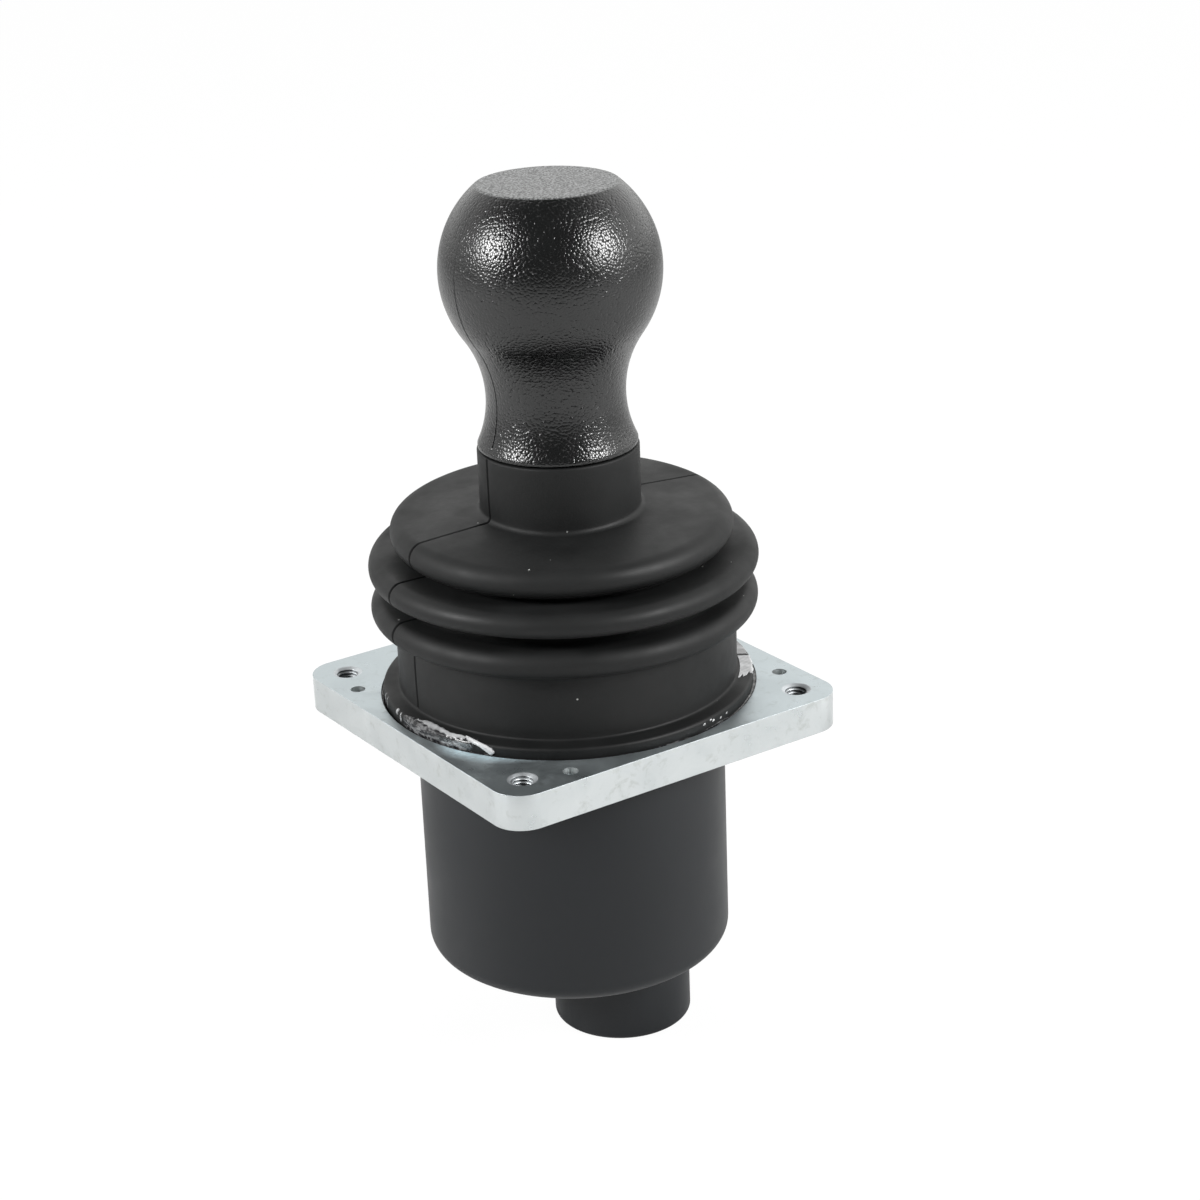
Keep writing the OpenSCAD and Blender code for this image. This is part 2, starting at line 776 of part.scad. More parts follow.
// Slotted stirrup over the gimbal ring: it follows the stick on the Y axis only
module bail() {
    arm_half = 4.5;
    color("rosybrown")
    difference() {
        union() {
            translate([-arm_half, -bail_arm_out, pivot_z + bail_rise])
                cube([2 * arm_half, 2 * bail_arm_out, bail_t]);
            translate([0, 0, pivot_z + bail_rise])
                linear_extrude(bail_t) rounded_outline(bail_bridge_half, bail_slot_len + bail_rail, 2);
            for (s = [90, 270]) side(s) translate([0, 0, bail_arm_in]) linear_extrude(bail_arm_t) {
                circle(arm_half);
                translate([-bail_rise - bail_t, -arm_half]) square([bail_rise + bail_t, 2 * arm_half]);
            }
        }
        translate([0, 0, pivot_z + bail_rise - over])
            linear_extrude(bail_t + 2 * over) rounded_outline(bail_slot_half, bail_slot_len, bail_slot_half - 0.01);
        for (s = [90, 270]) side(s) bar(pin_r + 0.01, bail_arm_in - over, bail_arm_out + over);
    }
}

module bail_spring_pin() {
    color("silver") side(bail_spring_side) bar(pin_r, bail_arm_in, lever_start + lever_t);
}

module bail_sensor_pin() {
    color("silver") side(bail_sensor_side) bar(pin_r, bail_arm_in, holder_start + holder_hub);
}

// ---- stick ----

module pivot_block() {
    color("slategray")
    difference() {
        intersection() {
            translate([0, 0, pivot_z]) rotate([90, 0, 0]) cylinder(r = block_r, h = block_w, center = true);
            translate([-block_r, -block_r, pivot_z - block_foot])
                cube([2 * block_r, 2 * block_r, block_foot + block_top]);
        }
        bar(shaft_tail_d / 2 + 0.01, pivot_z - block_r - over, pivot_z + block_r + over);
        translate([0, 0, pivot_z]) rotate([90, 0, 0]) cylinder(r = pin_r + 0.01, h = 4 * block_r, center = true);
    }
}

module cross_pin() {
    half = ring_y + 1.9;
    color("silver")
    translate([0, 0, pivot_z]) rotate([90, 0, 0])
    difference() {
        cylinder(r = pin_r, h = 2 * half, center = true);
        for (s = [-1, 1]) translate([0, 0, s * (half - 1)])
            tube(pin_r + over, pin_r - 0.5, -0.35, 0.35);
    }
}

// Open snap rings in the cross pin's grooves
module cross_pin_clips() {
    half = ring_y + 1.9;
    color("dimgray")
    translate([0, 0, pivot_z]) rotate([90, 0, 0])
    for (s = [-1, 1]) translate([0, 0, s * (half - 1)])
    difference() {
        tube(pin_r + 1, pin_r - 0.48, -0.3, 0.3);
        translate([0, -1.4, -over]) cube([6, 2.8, 2 * over]);
    }
}

module shaft() {
    color("lightgray")
    difference() {
        union() {
            bar(shaft_tail_d / 2, pivot_z - block_foot, pivot_z + block_top);
            bar(shaft_d / 2, pivot_z + block_top, shaft_top_z - 0.8);
            translate([0, 0, shaft_top_z - 0.8]) cylinder(r1 = shaft_d / 2, r2 = shaft_d / 2 - 0.8, h = 0.8);
        }
        translate([0, 0, pivot_z]) rotate([90, 0, 0]) cylinder(r = pin_r + 0.01, h = 4 * block_r, center = true);
    }
}

module jam_nut() {
    color("darkgray")
    difference() {
        hexagon(jam_nut_af, insert_foot_z - jam_nut_t, insert_foot_z);
        bar(shaft_d / 2 + seat_gap, insert_foot_z - jam_nut_t - over, insert_foot_z + over);
    }
}

// Brass insert moulded into the knob, with two holding grooves
module knob_insert() {
    color("goldenrod")
    difference() {
        bar(insert_r, insert_foot_z, insert_foot_z + insert_h);
        bar(shaft_d / 2 + seat_gap, insert_foot_z - over, insert_foot_z + insert_h - 1);
        for (f = [0.35, 0.7]) tube(insert_r + over, insert_r - 0.8,
            insert_foot_z + insert_h * f, insert_foot_z + insert_h * f + 2);
    }
}

module knob() {
    color("#262728")
    difference() {
        rotate_extrude() knob_outline();
        bar(insert_r, spigot_foot_z - over, insert_foot_z + insert_h);
    }
}

// Half section of the knob: spigot, foot, waist, ball and flat top
module knob_outline() {
    foot_edge_r = 0.5;
    translate([0, spigot_foot_z]) square([spigot_r, spigot_h + over]);
    translate([0, knob_z + foot_edge_r]) square([knob_foot_r, knob_foot_h - foot_edge_r]);
    translate([0, knob_z]) square([knob_foot_r - foot_edge_r, knob_foot_h]);
    translate([knob_foot_r - foot_edge_r, knob_z + foot_edge_r]) circle(foot_edge_r);
    difference() {
        translate([0, knob_z + knob_foot_h]) square([waist_joint_x, waist_joint_z - knob_z - knob_foot_h]);
        translate([waist_curve_x, waist_z]) circle(waist_curve_r);
    }
    intersection() {
        translate([0, ball_z]) circle(ball_r);
        translate([0, waist_joint_z]) square([ball_r, flat_joint_z - waist_joint_z]);
    }
    translate([0, ball_z]) square([flat_edge_x, ball_flat_h]);
    translate([flat_edge_x, ball_top_z - ball_flat_edge_r]) circle(ball_flat_edge_r);
}

// ---- sensors and control board ----

module sensor_boards() {
    color("seagreen")
    for (s = [gimbal_sensor_side, bail_sensor_side]) side(s)
    difference() {
        translate([-sensor_board_up, -sensor_board_half, sensor_board_start])
            cube([sensor_board_up + sensor_board_down, 2 * sensor_board_half, sensor_board_t]);
        for (y = [-post_y, post_y]) translate([post_down, y, sensor_board_start - over])
            cylinder(r = post_tip_r + seat_gap, h = sensor_board_t + 2 * over);
    }
}

module hall_sensors() {
    color("#202020")
    for (s = [gimbal_sensor_side, bail_sensor_side]) side(s)
        translate([-2.5, -2, sensor_board_start - sensor_t]) cube([5, 4, sensor_t]);
}

// Flat flexible leads from the sensor boards down to the control board
module sensor_flexes() {
    flex_t = 0.25;
    color("orange")
    for (s = [gimbal_sensor_side, bail_sensor_side]) side(s)
        translate([sensor_board_down - 1.5, -2.5, sensor_board_start - flex_t])
            cube([pivot_z - board_top_z - sensor_board_down + 1.5, 5, flex_t]);
}

module control_board() {
    color("seagreen")
    difference() {
        bar(board_r, board_foot_z, board_top_z);
        at_corners(spacer_ring_r) bar(screw_d / 2 + screw_gap, board_foot_z - over, board_top_z + over);
    }
}

module board_components() {
    color("#202020") {
        translate([-5, -5, board_top_z]) cube([10, 10, 1.5]);
        for (y = [-9.5, 8]) translate([-2.5, y, board_top_z]) cube([5, 2, 1]);
        translate([12, 5, board_top_z]) cylinder(r = 2.5, h = 4.8);
        translate([-14, -4, board_top_z]) cube([4, 7, 2]);
    }
}

// Hexagonal spacers with a stud up into the frame and a thread for the board's screw
module board_spacers() {
    color("goldenrod")
    at_corners(spacer_ring_r)
    difference() {
        union() {
            hexagon(5.5, board_top_z, frame_foot_z);
            bar(screw_d / 2, frame_foot_z, frame_foot_z + 2.8);
        }
        bar(screw_d / 2 + seat_gap, board_top_z - over, board_top_z + 5);
    }
}

module board_screws() {
    color("silver")
    at_corners(spacer_ring_r) translate([0, 0, board_foot_z]) mirror([0, 0, 1]) screw(board_t + 4.5, 2);
}

// Socket strip under the control board
module board_header() {
    color("ivory")
    translate([shell_x - contacts * lead_pitch / 2 - 0.5, shell_y - 2.5, board_foot_z - header_h])
        cube([contacts * lead_pitch + 1, 5, header_h]);
}

// ---- connector ----

module at_connector() {
    translate([shell_x, shell_y, 0]) children();
}

module at_contacts() {
    for (i = [0:contacts - 1]) rotate([0, 0, contact_angle(i)]) translate([contact_ring_r, 0, 0]) children();
}

// Contacts are numbered so that leads from the header don't cross
function contact_angle(i) = 360 * (i + 0.5) / contacts;

module connector_shell() {
    color("#303234")
    at_connector()
    difference() {
        union() {
            rotate_extrude() {
                translate([0, shell_foot_z + shell_edge_r]) square([shell_r, shell_h - shell_edge_r]);
                translate([0, shell_foot_z]) square([shell_r - shell_edge_r, shell_h]);
                translate([shell_r - shell_edge_r, shell_foot_z + shell_edge_r]) circle(shell_edge_r);
            }
            bar(neck_r, can_foot_z - over, neck_top_z);
        }
        bar(socket_r, shell_foot_z - over, socket_floor_z);
        bar(insert_bore_r, socket_floor_z - over, neck_top_z + over);
        tube(shell_seal_r() + 0.95, shell_seal_r() - 0.95, can_foot_z - 1.65, can_foot_z + over);
    }
}

function shell_seal_r() = (shell_r + neck_r) / 2;

module connector_seal() {
    color("black")
    at_connector() translate([0, 0, can_foot_z - 0.83])
        rotate_extrude() translate([shell_seal_r(), 0]) circle(0.8);
}

module connector_nut() {
    color("silver")
    at_connector()
    difference() {
        hexagon(2 * neck_r + 4, can_floor_z, can_floor_z + nut_t);
        bar(neck_r + seat_gap, can_floor_z - over, can_floor_z + nut_t + over);
    }
}

// Insulator that holds the contacts flush with its face, with a keyway
module connector_insert() {
    color("#1c1c1c")
    at_connector()
    difference() {
        bar(insert_bore_r - seat_gap, socket_floor_z, socket_floor_z + plug_seat_h);
        at_contacts() bar(contact_r + seat_gap, socket_floor_z - over, socket_floor_z + plug_seat_h + over);
        translate([-1, insert_bore_r - 2, socket_floor_z - over]) cube([2, 3, 4 + over]);
    }
}

module connector_contacts() {
    color("gold")
    at_connector() at_contacts()
    difference() {
        bar(contact_r, socket_floor_z, contact_top_z);
        bar(0.45, socket_floor_z - over, socket_floor_z + 6);
    }
}

// Leads from the header to the contacts, leaving both ends straight
module connector_leads() {
    steps = 9;
    straight = 0.8;
    top_z = board_foot_z - header_h;
    drop = top_z - contact_top_z;
    color("firebrick")
    for (i = [0:contacts - 1]) {
        a = contact_angle(i);
        from = [shell_x + (lead_slot(i) - (contacts - 1) / 2) * lead_pitch, shell_y, top_z];
        to = [shell_x + contact_ring_r * cos(a), shell_y + contact_ring_r * sin(a), contact_top_z];
        middle = [
            for (k = [0:steps])
                let (t = k / steps, s = t * t * (3 - 2 * t))
                [from.x + (to.x - from.x) * s, from.y + (to.y - from.y) * s,
                    from.z - straight - (drop - 2 * straight) * t]
        ];
        wire(concat([from], middle, [to]), lead_r, 8, [0, 1, 0]);
    }
}

// Header position of contact i: contacts furthest to +X take the last positions
function lead_slot(i) = len([for (k = [0:contacts - 1])
    if (cos(contact_angle(k)) + 0.001 * k < cos(contact_angle(i)) + 0.001 * i) k]);

flange_plate();
housing_can();
rim_seal();
boot();
sealant_bead();
pivot_frame();
travel_gate();
stack_screws();
gimbal_bushes();
bail_bushes();
gimbal_ring();
gimbal_spring_pin();
gimbal_sensor_pin();
gimbal_lever();
gimbal_spring();
gimbal_magnet_holder();
gimbal_magnet();
bail();
bail_spring_pin();
bail_sensor_pin();
bail_lever();
bail_spring();
bail_magnet_holder();
bail_magnet();
pivot_block();
cross_pin();
cross_pin_clips();
shaft();
jam_nut();
knob_insert();
knob();
sensor_boards();
hall_sensors();
sensor_flexes();
control_board();
board_components();
board_spacers();
board_screws();
board_header();
connector_shell();
connector_seal();
connector_nut();
connector_insert();
connector_contacts();
connector_leads();
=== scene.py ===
import json
from math import cos, hypot, pi, radians, sin, sqrt, tan

import bmesh
import bpy
import numpy as np
from mathutils import Matrix, Vector


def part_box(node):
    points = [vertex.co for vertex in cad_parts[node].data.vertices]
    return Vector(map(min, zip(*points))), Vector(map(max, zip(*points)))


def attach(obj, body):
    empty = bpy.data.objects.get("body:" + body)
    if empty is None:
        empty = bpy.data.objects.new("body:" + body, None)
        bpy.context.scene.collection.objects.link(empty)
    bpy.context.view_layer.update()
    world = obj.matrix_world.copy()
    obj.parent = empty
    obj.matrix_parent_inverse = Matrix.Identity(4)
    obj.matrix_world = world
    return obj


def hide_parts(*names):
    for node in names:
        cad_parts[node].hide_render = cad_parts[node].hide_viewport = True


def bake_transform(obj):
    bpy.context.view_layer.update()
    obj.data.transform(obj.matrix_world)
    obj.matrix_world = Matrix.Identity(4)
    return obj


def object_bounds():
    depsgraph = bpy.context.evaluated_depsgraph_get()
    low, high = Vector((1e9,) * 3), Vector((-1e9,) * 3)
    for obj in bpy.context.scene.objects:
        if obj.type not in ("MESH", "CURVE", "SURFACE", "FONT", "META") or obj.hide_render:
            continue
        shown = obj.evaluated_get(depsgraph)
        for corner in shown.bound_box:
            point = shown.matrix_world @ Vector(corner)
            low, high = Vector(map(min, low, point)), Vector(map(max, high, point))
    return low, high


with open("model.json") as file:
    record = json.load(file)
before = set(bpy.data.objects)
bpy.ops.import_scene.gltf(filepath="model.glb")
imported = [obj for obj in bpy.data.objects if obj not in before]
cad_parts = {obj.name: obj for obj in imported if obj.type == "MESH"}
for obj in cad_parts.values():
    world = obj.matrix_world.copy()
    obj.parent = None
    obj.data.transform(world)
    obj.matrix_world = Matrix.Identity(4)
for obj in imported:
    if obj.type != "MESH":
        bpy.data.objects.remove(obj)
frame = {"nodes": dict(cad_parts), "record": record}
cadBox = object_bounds()
record = frame["record"]
mounts = {mount["name"]: mount for mount in record["mounts"]}
print("frame loaded:", len(frame["nodes"]), "nodes")

mm = 0.001
newMerge = 1e-7  # metres: joins the doubled vertices of a new mesh
cadMerge = 2e-6  # metres: joins the triangles of a CAD node


def linear(hexColour):
    # an sRGB hex colour as linear red, green, blue and a full alpha
    parts = [int(hexColour[i:i + 2], 16) / 255 for i in (1, 3, 5)]
    return [p / 12.92 if p <= 0.04045 else ((p + 0.055) / 1.055) ** 2.4 for p in parts] + [1.0]


def setInputs(tree, node, inputs):
    # links a socket or a node's first live output, turns a hex colour to linear, and sets a plain value
    for name, value in inputs.items():
        if isinstance(value, bpy.types.Node):
            value = next(output for output in value.outputs if output.enabled)
        if isinstance(value, bpy.types.NodeSocket):
            tree.links.new(value, node.inputs[name])
        else:
            node.inputs[name].default_value = linear(value) if isinstance(value, str) else value


def addNode(tree, kind, inputs=None, **settings):
    # adds a node, sets its properties, and fills or links its inputs
    node = tree.nodes.new("ShaderNode" + kind)
    for name, value in settings.items():
        setattr(node, name, value)
    setInputs(tree, node, inputs or {})
    return node


def meshObject(name, vertices, faces, smoothAngle=35, values=None, capEnds=False):
    # vertices in millimetres, with one value of each attribute a vertex; open ends are capped on request,
    # and a shell that encloses a negative volume is turned the right way out
    mesh = bpy.data.meshes.new(name)
    mesh.from_pydata((np.asarray(vertices) * mm).tolist(), [], faces.tolist())
    for key, value in (values or {}).items():
        layer = mesh.attributes.new(key, "FLOAT", "POINT")
        layer.data.foreach_set("value", value.ravel().astype(np.float32))
    work = bmesh.new()
    work.from_mesh(mesh)
    bmesh.ops.remove_doubles(work, verts=work.verts, dist=newMerge)
    if capEnds:
        bmesh.ops.holes_fill(work, edges=[edge for edge in work.edges if edge.is_boundary])
    if work.calc_volume(signed=True) < 0:
        bmesh.ops.reverse_faces(work, faces=work.faces)
    work.to_mesh(mesh)
    work.free()
    mesh.shade_smooth()
    mesh.set_sharp_from_angle(angle=radians(smoothAngle))
    piece = bpy.data.objects.new(name, mesh)
    bpy.context.scene.collection.objects.link(piece)
    return piece


def gridFaces(rows, columns, closeRows=False, closeColumns=False):
    # quads between neighbours of a rows x columns grid of vertices, wrapped where asked
    i = np.arange(rows if closeRows else rows - 1)
    j = np.arange(columns if closeColumns else columns - 1)
    i, j = np.meshgrid(i, j, indexing="ij")
    nextI, nextJ = (i + 1) % rows, (j + 1) % columns
    corners = (i * columns + j, i * columns + nextJ, nextI * columns + nextJ, nextI * columns + j)
    return np.stack(corners, -1).reshape(-1, 4)


def line(start, end, step=1.0):
    # points from start to end about a step apart, without the last one
    start, end = np.array(start, float), np.array(end, float)
    count = max(1, int(round(np.linalg.norm(end - start) / step)))
    return start + (end - start) * np.arange(count)[:, None] / count


def arc(centre, radius, fromDegrees, toDegrees, step=0.6):
    # points of a circle's arc about a step apart, without the last one
    count = max(3, int(round(abs(radians(toDegrees - fromDegrees)) * radius / step)))
    a = np.radians(fromDegrees + (toDegrees - fromDegrees) * np.arange(count) / count)
    return np.array(centre, float) + radius * np.stack([np.cos(a), np.sin(a)], -1)


def turned(r, a, z, centre=(0, 0)):
    # points at radius r, angle a and height z: x = r cos a, y = r sin a, from the centre
    points = np.stack([centre[0] + r * np.cos(a), centre[1] + r * np.sin(a), z + 0 * a], -1)
    return points.reshape(-1, 3)


def seamColumns(form):
    # angles of the columns round a revolved piece, even but for a tight group of five at each parting
    # line, with each column's distance from its line in half widths and how deep it lies in it
    steps = np.array([-2.4, -1, 0, 1, 2.4])
    seams = np.array(form["seams"])
    even = np.arange(form["around"]) * 360 / form["around"]
    away = np.abs((even[:, None] - seams + 180) % 360 - 180).min(axis=1)
    even = even[away > form["seamSpread"]]
    degrees = np.concatenate([even, np.repeat(seams, len(steps))])
    offsets = np.concatenate([0 * even, np.tile(steps, len(seams))])
    depths = np.concatenate([0 * even, np.tile(np.clip(1 - np.abs(steps), 0, 1), len(seams))])
    order = np.lexsort((offsets, degrees))
    return np.radians(degrees[order]), offsets[order], depths[order]


def revolved(name, profile, form, closed=True, wave=None, sag=None):
    # the profile (radius, height) turned about Z; the parting line pulls the surface in along its normal
    # and keeps its width at every radius, wave changes the radius and sag the height
    profile = np.asarray(profile, float)
    before, after = np.roll(profile, 1, 0), np.roll(profile, -1, 0)
    if not closed:
        before[0], after[-1] = profile[0], profile[-1]
    along = after - before
    along /= np.maximum(np.linalg.norm(along, axis=1), 1e-9)[:, None]
    area = np.sum(profile[:, 0] * after[:, 1] - after[:, 0] * profile[:, 1])
    out = np.stack([along[:, 1], -along[:, 0]], -1) * (1 if area > 0 else -1)
    angles, offsets, depths = seamColumns(form)
    r, z = profile[:, :1], profile[:, 1:]
    heights, strengths = np.transpose(form["seamAlong"])
    a = angles + offsets * form["seamWidth"] / 2 / np.maximum(r, form["seamNearest"])
    seam = depths * np.interp(z, heights, strengths)
    r = r - form["groove"] * out[:, :1] * seam
    z = z - form["groove"] * out[:, 1:] * seam
    if wave is not None:
        r, z = r + wave(a, z), z - sag(a, z, r)
    faces = gridFaces(len(profile), len(angles), closed, True)
    # the seam attribute carries the groove's depth to the painted shade along the parting line
    return meshObject(name, turned(r, a, z), faces, values={"seam": seam})


def joinPieces(name, pieces):
    # one object from several meshes
    work = bmesh.new()
    for piece in pieces:
        work.from_mesh(piece.data)
        bpy.data.meshes.remove(piece.data)
    mesh = bpy.data.meshes.new(name)
    work.to_mesh(mesh)
    work.free()
    joined = bpy.data.objects.new(name, mesh)
    bpy.context.scene.collection.objects.link(joined)
    return joined


# Angles in degrees and an area in square millimetres: faces that count as one plane, edges that stay
# sharp, the share of the width at crisp edges, and the size above which a face is shaded flat
rounding = {"plane": 0.5, "sharp": 38, "crispShare": 0.15, "flatArea": 150}


def softened(nodeName, name, width, segments=2, angle=30, crisp=None):
    # a merged copy of a CAD node's mesh, its flat faces joined and its edges above the angle rounded;
    # crisp tells, from an edge's middle in millimetres, which edges get less
    mesh = frame["nodes"][nodeName].data.copy()
    mesh.name = name
    work = bmesh.new()
    work.from_mesh(mesh)
    bmesh.ops.remove_doubles(work, verts=work.verts, dist=cadMerge)
    flatEnough = radians(rounding["plane"])
    bmesh.ops.dissolve_limit(work, angle_limit=flatEnough, verts=work.verts, edges=work.edges)
    bmesh.ops.recalc_face_normals(work, faces=work.faces)
    weight = work.edges.layers.float.new("bevel_weight_edge")
    for edge in work.edges:
        if edge.calc_face_angle(0) > radians(angle):
            middle = (edge.verts[0].co + edge.verts[1].co) / 2 / mm
            edge[weight] = rounding["crispShare"] if crisp and crisp(middle) else 1.0
    work.to_mesh(mesh)
    work.free()
    piece = bpy.data.objects.new(name, mesh)
    bpy.context.scene.collection.objects.link(piece)
    bevel = piece.modifiers.new("edges", "BEVEL")
    bevel.width = width * mm
    bevel.segments = segments
    bevel.limit_method = "WEIGHT"
    rounded = bpy.data.meshes.new_from_object(piece.evaluated_get(bpy.context.evaluated_depsgraph_get()))
    piece.modifiers.clear()
    piece.data = rounded
    bpy.data.meshes.remove(mesh)
    rounded.name = name
    rounded.shade_smooth()
    rounded.set_sharp_from_angle(angle=radians(rounding["sharp"]))
    work = bmesh.new()
    work.from_mesh(rounded)
    for face in work.faces:
        if face.calc_area() > rounding["flatArea"] * mm ** 2:
            for edge in face.edges:
                edge.smooth = False
    work.to_mesh(rounded)
    work.free()
    return piece




def place(piece, body, slotName, *nodes):
    # dresses a piece, ties it to its body and hides the CAD nodes it stands for
    piece.data.materials.clear()
    piece.data.materials.append(finishes[slotName])
    if body:
        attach(piece, body)
    if nodes:
        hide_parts(*nodes)
    return piece


# Lens and sensor in millimetres, the place in millimetres, the angles in degrees
view = {
    "lens": 80.18, "sensor": 36.0, "place": (-301.5, -460.8, 238.9),
    "azimuth": -34.0, "elevation": 21.76, "roll": 2.27, "nearest": 10,
}


def makeCamera():
    # looks along the view direction, then rolls about it
    a, e, roll = (radians(view[k]) for k in ("azimuth", "elevation", "roll"))
    back = Vector((sin(a) * cos(e), -cos(a) * cos(e), sin(e)))
    right = Vector((cos(a), sin(a), 0))
    up = back.cross(right)
    axes = Matrix([right * cos(roll) - up * sin(roll), right * sin(roll) + up * cos(roll), back])
    camera = bpy.data.objects.new("camera", bpy.data.cameras.new("camera"))
    bpy.context.scene.collection.objects.link(camera)
    camera.matrix_world = Matrix.Translation(Vector(view["place"]) * mm) @ axes.transposed().to_4x4()
    camera.data.lens = view["lens"]
    camera.data.sensor_width = view["sensor"]
    camera.data.clip_start = view["nearest"] * mm
    bpy.context.scene.camera = camera
    return back, right


backward, rightward = makeCamera()
print("camera set")


def startMaterial(name):
    # a new material with its tree, its shader and the place in the object
    material = bpy.data.materials.new(name)
    material.use_nodes = True
    tree = material.node_tree
    spot = addNode(tree, "TexCoord").outputs["Object"]
    return material, tree, tree.nodes["Principled BSDF"], spot


def paintedSeamShade(tree, colour, shadeColour):
    # painted shade in the grooves that the seam attribute marks, at parting lines and in threads: darkens
    # the colour there and takes the shine out of it
    seam = addNode(tree, "Attribute", attribute_name="seam").outputs["Fac"]
    shaded = addNode(tree, "Mix", {"Factor": seam, "A": colour, "B": shadeColour}, data_type="RGBA")
    return shaded, addNode(tree, "MapRange", {"Value": seam, "To Min": 0.5, "To Max": 0.05})


def plainFinish(name, look):
    # colour and roughness drift over the cloud size, and the grain makes the bump
    material, tree, shader, spot = startMaterial(name)
    cloud = addNode(tree, "TexNoise", {
        "Vector": spot, "Scale": 1 / (look["cloud"] * mm), "Detail": 3.0, "Roughness": 0.55})
    grain = addNode(tree, "TexNoise", {"Vector": spot, "Scale": 1 / (look["grain"] * mm)})
    shade = addNode(tree, "Mix", {
        "Factor": cloud, "A": look["colour"], "B": look["second"]}, data_type="RGBA")
    # painted shade in grooves, where the look asks for it
    if "grooves" in look:
        shade = paintedSeamShade(tree, shade, look["grooves"])[0]
    smoothest, roughest = look["rough"]
    rough = addNode(tree, "MapRange", {
        "Value": cloud, "From Min": 0.3, "From Max": 0.7, "To Min": smoothest, "To Max": roughest})
    bump = addNode(tree, "Bump", {"Height": grain, "Distance": look["bump"] * mm})
    setInputs(tree, shader, {
        "Base Color": shade, "Roughness": rough, "Normal": bump, "Metallic": look.get("metallic", 0.0)})
    if "ior" in look:
        shader.inputs["IOR"].default_value = look["ior"]
    return material


# Colours, drift of roughness, and the sizes of cloud, grain and bump in millimetres
plainLooks = {
    # glass-filled nylon, moulded: satin black with a faint spark-eroded tooth
    "black_nylon": {"colour": "#0c0f12", "second": "#111417", "rough": (0.42, 0.50), "cloud": 18,
                    "grain": 0.35, "bump": 0.012, "ior": 1.38},
    # nitrile rubber ring: smooth, soft black
    "seal_rubber": {"colour": "#0d0d0e", "second": "#131314", "rough": (0.45, 0.55), "cloud": 5,
                    "grain": 0.2, "bump": 0.004, "ior": 1.52},
    # die-cast aluminium: pale grey with a fine cast skin
    "cast_aluminium": {"colour": "#c6c8ca", "second": "#b3b6b9", "rough": (0.34, 0.48), "cloud": 6,
                       "grain": 0.3, "bump": 0.012, "metallic": 1.0},
    # phosphated steel: dark grey crystals that hold oil
    "hard_steel": {"colour": "#55575b", "second": "#44464a", "rough": (0.42, 0.58), "cloud": 4,
                   "grain": 0.12, "bump": 0.006, "metallic": 1.0},
    # zinc-flaked screw steel: dull silver
    "screw_steel": {"colour": "#9fa2a6", "second": "#8a8d91", "rough": (0.3, 0.42), "cloud": 2,
                    "grain": 0.15, "bump": 0.004, "metallic": 1.0},
    # sintered bronze: open pores that darken with oil
    "bronze": {"colour": "#a8763c", "second": "#7f5628", "rough": (0.4, 0.55), "cloud": 0.8,
               "grain": 0.08, "bump": 0.006, "metallic": 1.0},
    # drawn spring wire: bright with drawing lines
    "spring_steel": {"colour": "#a5a6a9", "second": "#8f9196", "rough": (0.22, 0.34), "cloud": 3,
                     "grain": 0.1, "bump": 0.003, "metallic": 1.0},
    # ground steel: clean and bright
    "ground_steel": {"colour": "#cbccce", "second": "#bcbec1", "rough": (0.16, 0.26), "cloud": 4,
                     "grain": 0.06, "bump": 0.0015, "metallic": 1.0},
    # turned brass: warm with a light haze
    "brass": {"colour": "#d9b25f", "second": "#c79e4c", "rough": (0.22, 0.34), "cloud": 3,
              "grain": 0.08, "bump": 0.002, "metallic": 1.0},
    # natural acetal: milky white
    "white_plastic": {"colour": "#e6e3d8", "second": "#dbd7ca", "rough": (0.35, 0.45), "cloud": 6,
                      "grain": 0.2, "bump": 0.003, "ior": 1.48},
    # nickel-plated magnet: grey mirror with haze
    "magnet": {"colour": "#a9a8a4", "second": "#9a9a97", "rough": (0.18, 0.28), "cloud": 2,
               "grain": 0.1, "bump": 0.002, "metallic": 1.0},
    # laminate under green solder mask: glossy, with the copper just showing through
    "circuit_board": {"colour": "#0f5a34", "second": "#167043", "rough": (0.25, 0.35), "cloud": 1.5,
                      "grain": 0.5, "bump": 0.01, "ior": 1.52},
    # moulded epoxy chips: matt black
    "chip_black": {"colour": "#161617", "second": "#1d1d1f", "rough": (0.5, 0.62), "cloud": 2,
                   "grain": 0.08, "bump": 0.004, "ior": 1.55},
    # polyimide film: amber and glossy
    "flex_lead": {"colour": "#c8731c", "second": "#b66415", "rough": (0.2, 0.3), "cloud": 1,
                  "grain": 0.6, "bump": 0.004, "ior": 1.6},
    # nickel-plated brass nut: bright with soft scuffs
    "nickel": {"colour": "#c4c0b6", "second": "#b4b0a7", "rough": (0.18, 0.3), "cloud": 3,
               "grain": 0.15, "bump": 0.003, "metallic": 1.0},
    # black polyamide insulator: smooth moulding
    "black_insulator": {"colour": "#101113", "second": "#16171a", "rough": (0.4, 0.5), "cloud": 4,
                        "grain": 0.25, "bump": 0.006, "ior": 1.53},
    # gold-plated contacts
    "gold_contact": {"colour": "#e0b75a", "second": "#d3a748", "rough": (0.16, 0.26), "cloud": 1,
                     "grain": 0.06, "bump": 0.001, "metallic": 1.0},
    # silicone lead insulation: soft red
    "red_lead": {"colour": "#a51d1b", "second": "#8e1715", "rough": (0.4, 0.5), "cloud": 2,
                 "grain": 0.2, "bump": 0.004, "ior": 1.42},
}

# Sealant wiped off beside the bead, on the plate's top: inner radius, greatest width and the width over
# which it fades in millimetres, and the angles between which it widens and then narrows
wipedFilm = {
    "radius": 41.9, "width": 4.4, "fade": 3.8, "widens": (-172, -157), "narrows": (-152, -124),
    "colour": "#a9c2cb", "thin": 0.45,
}


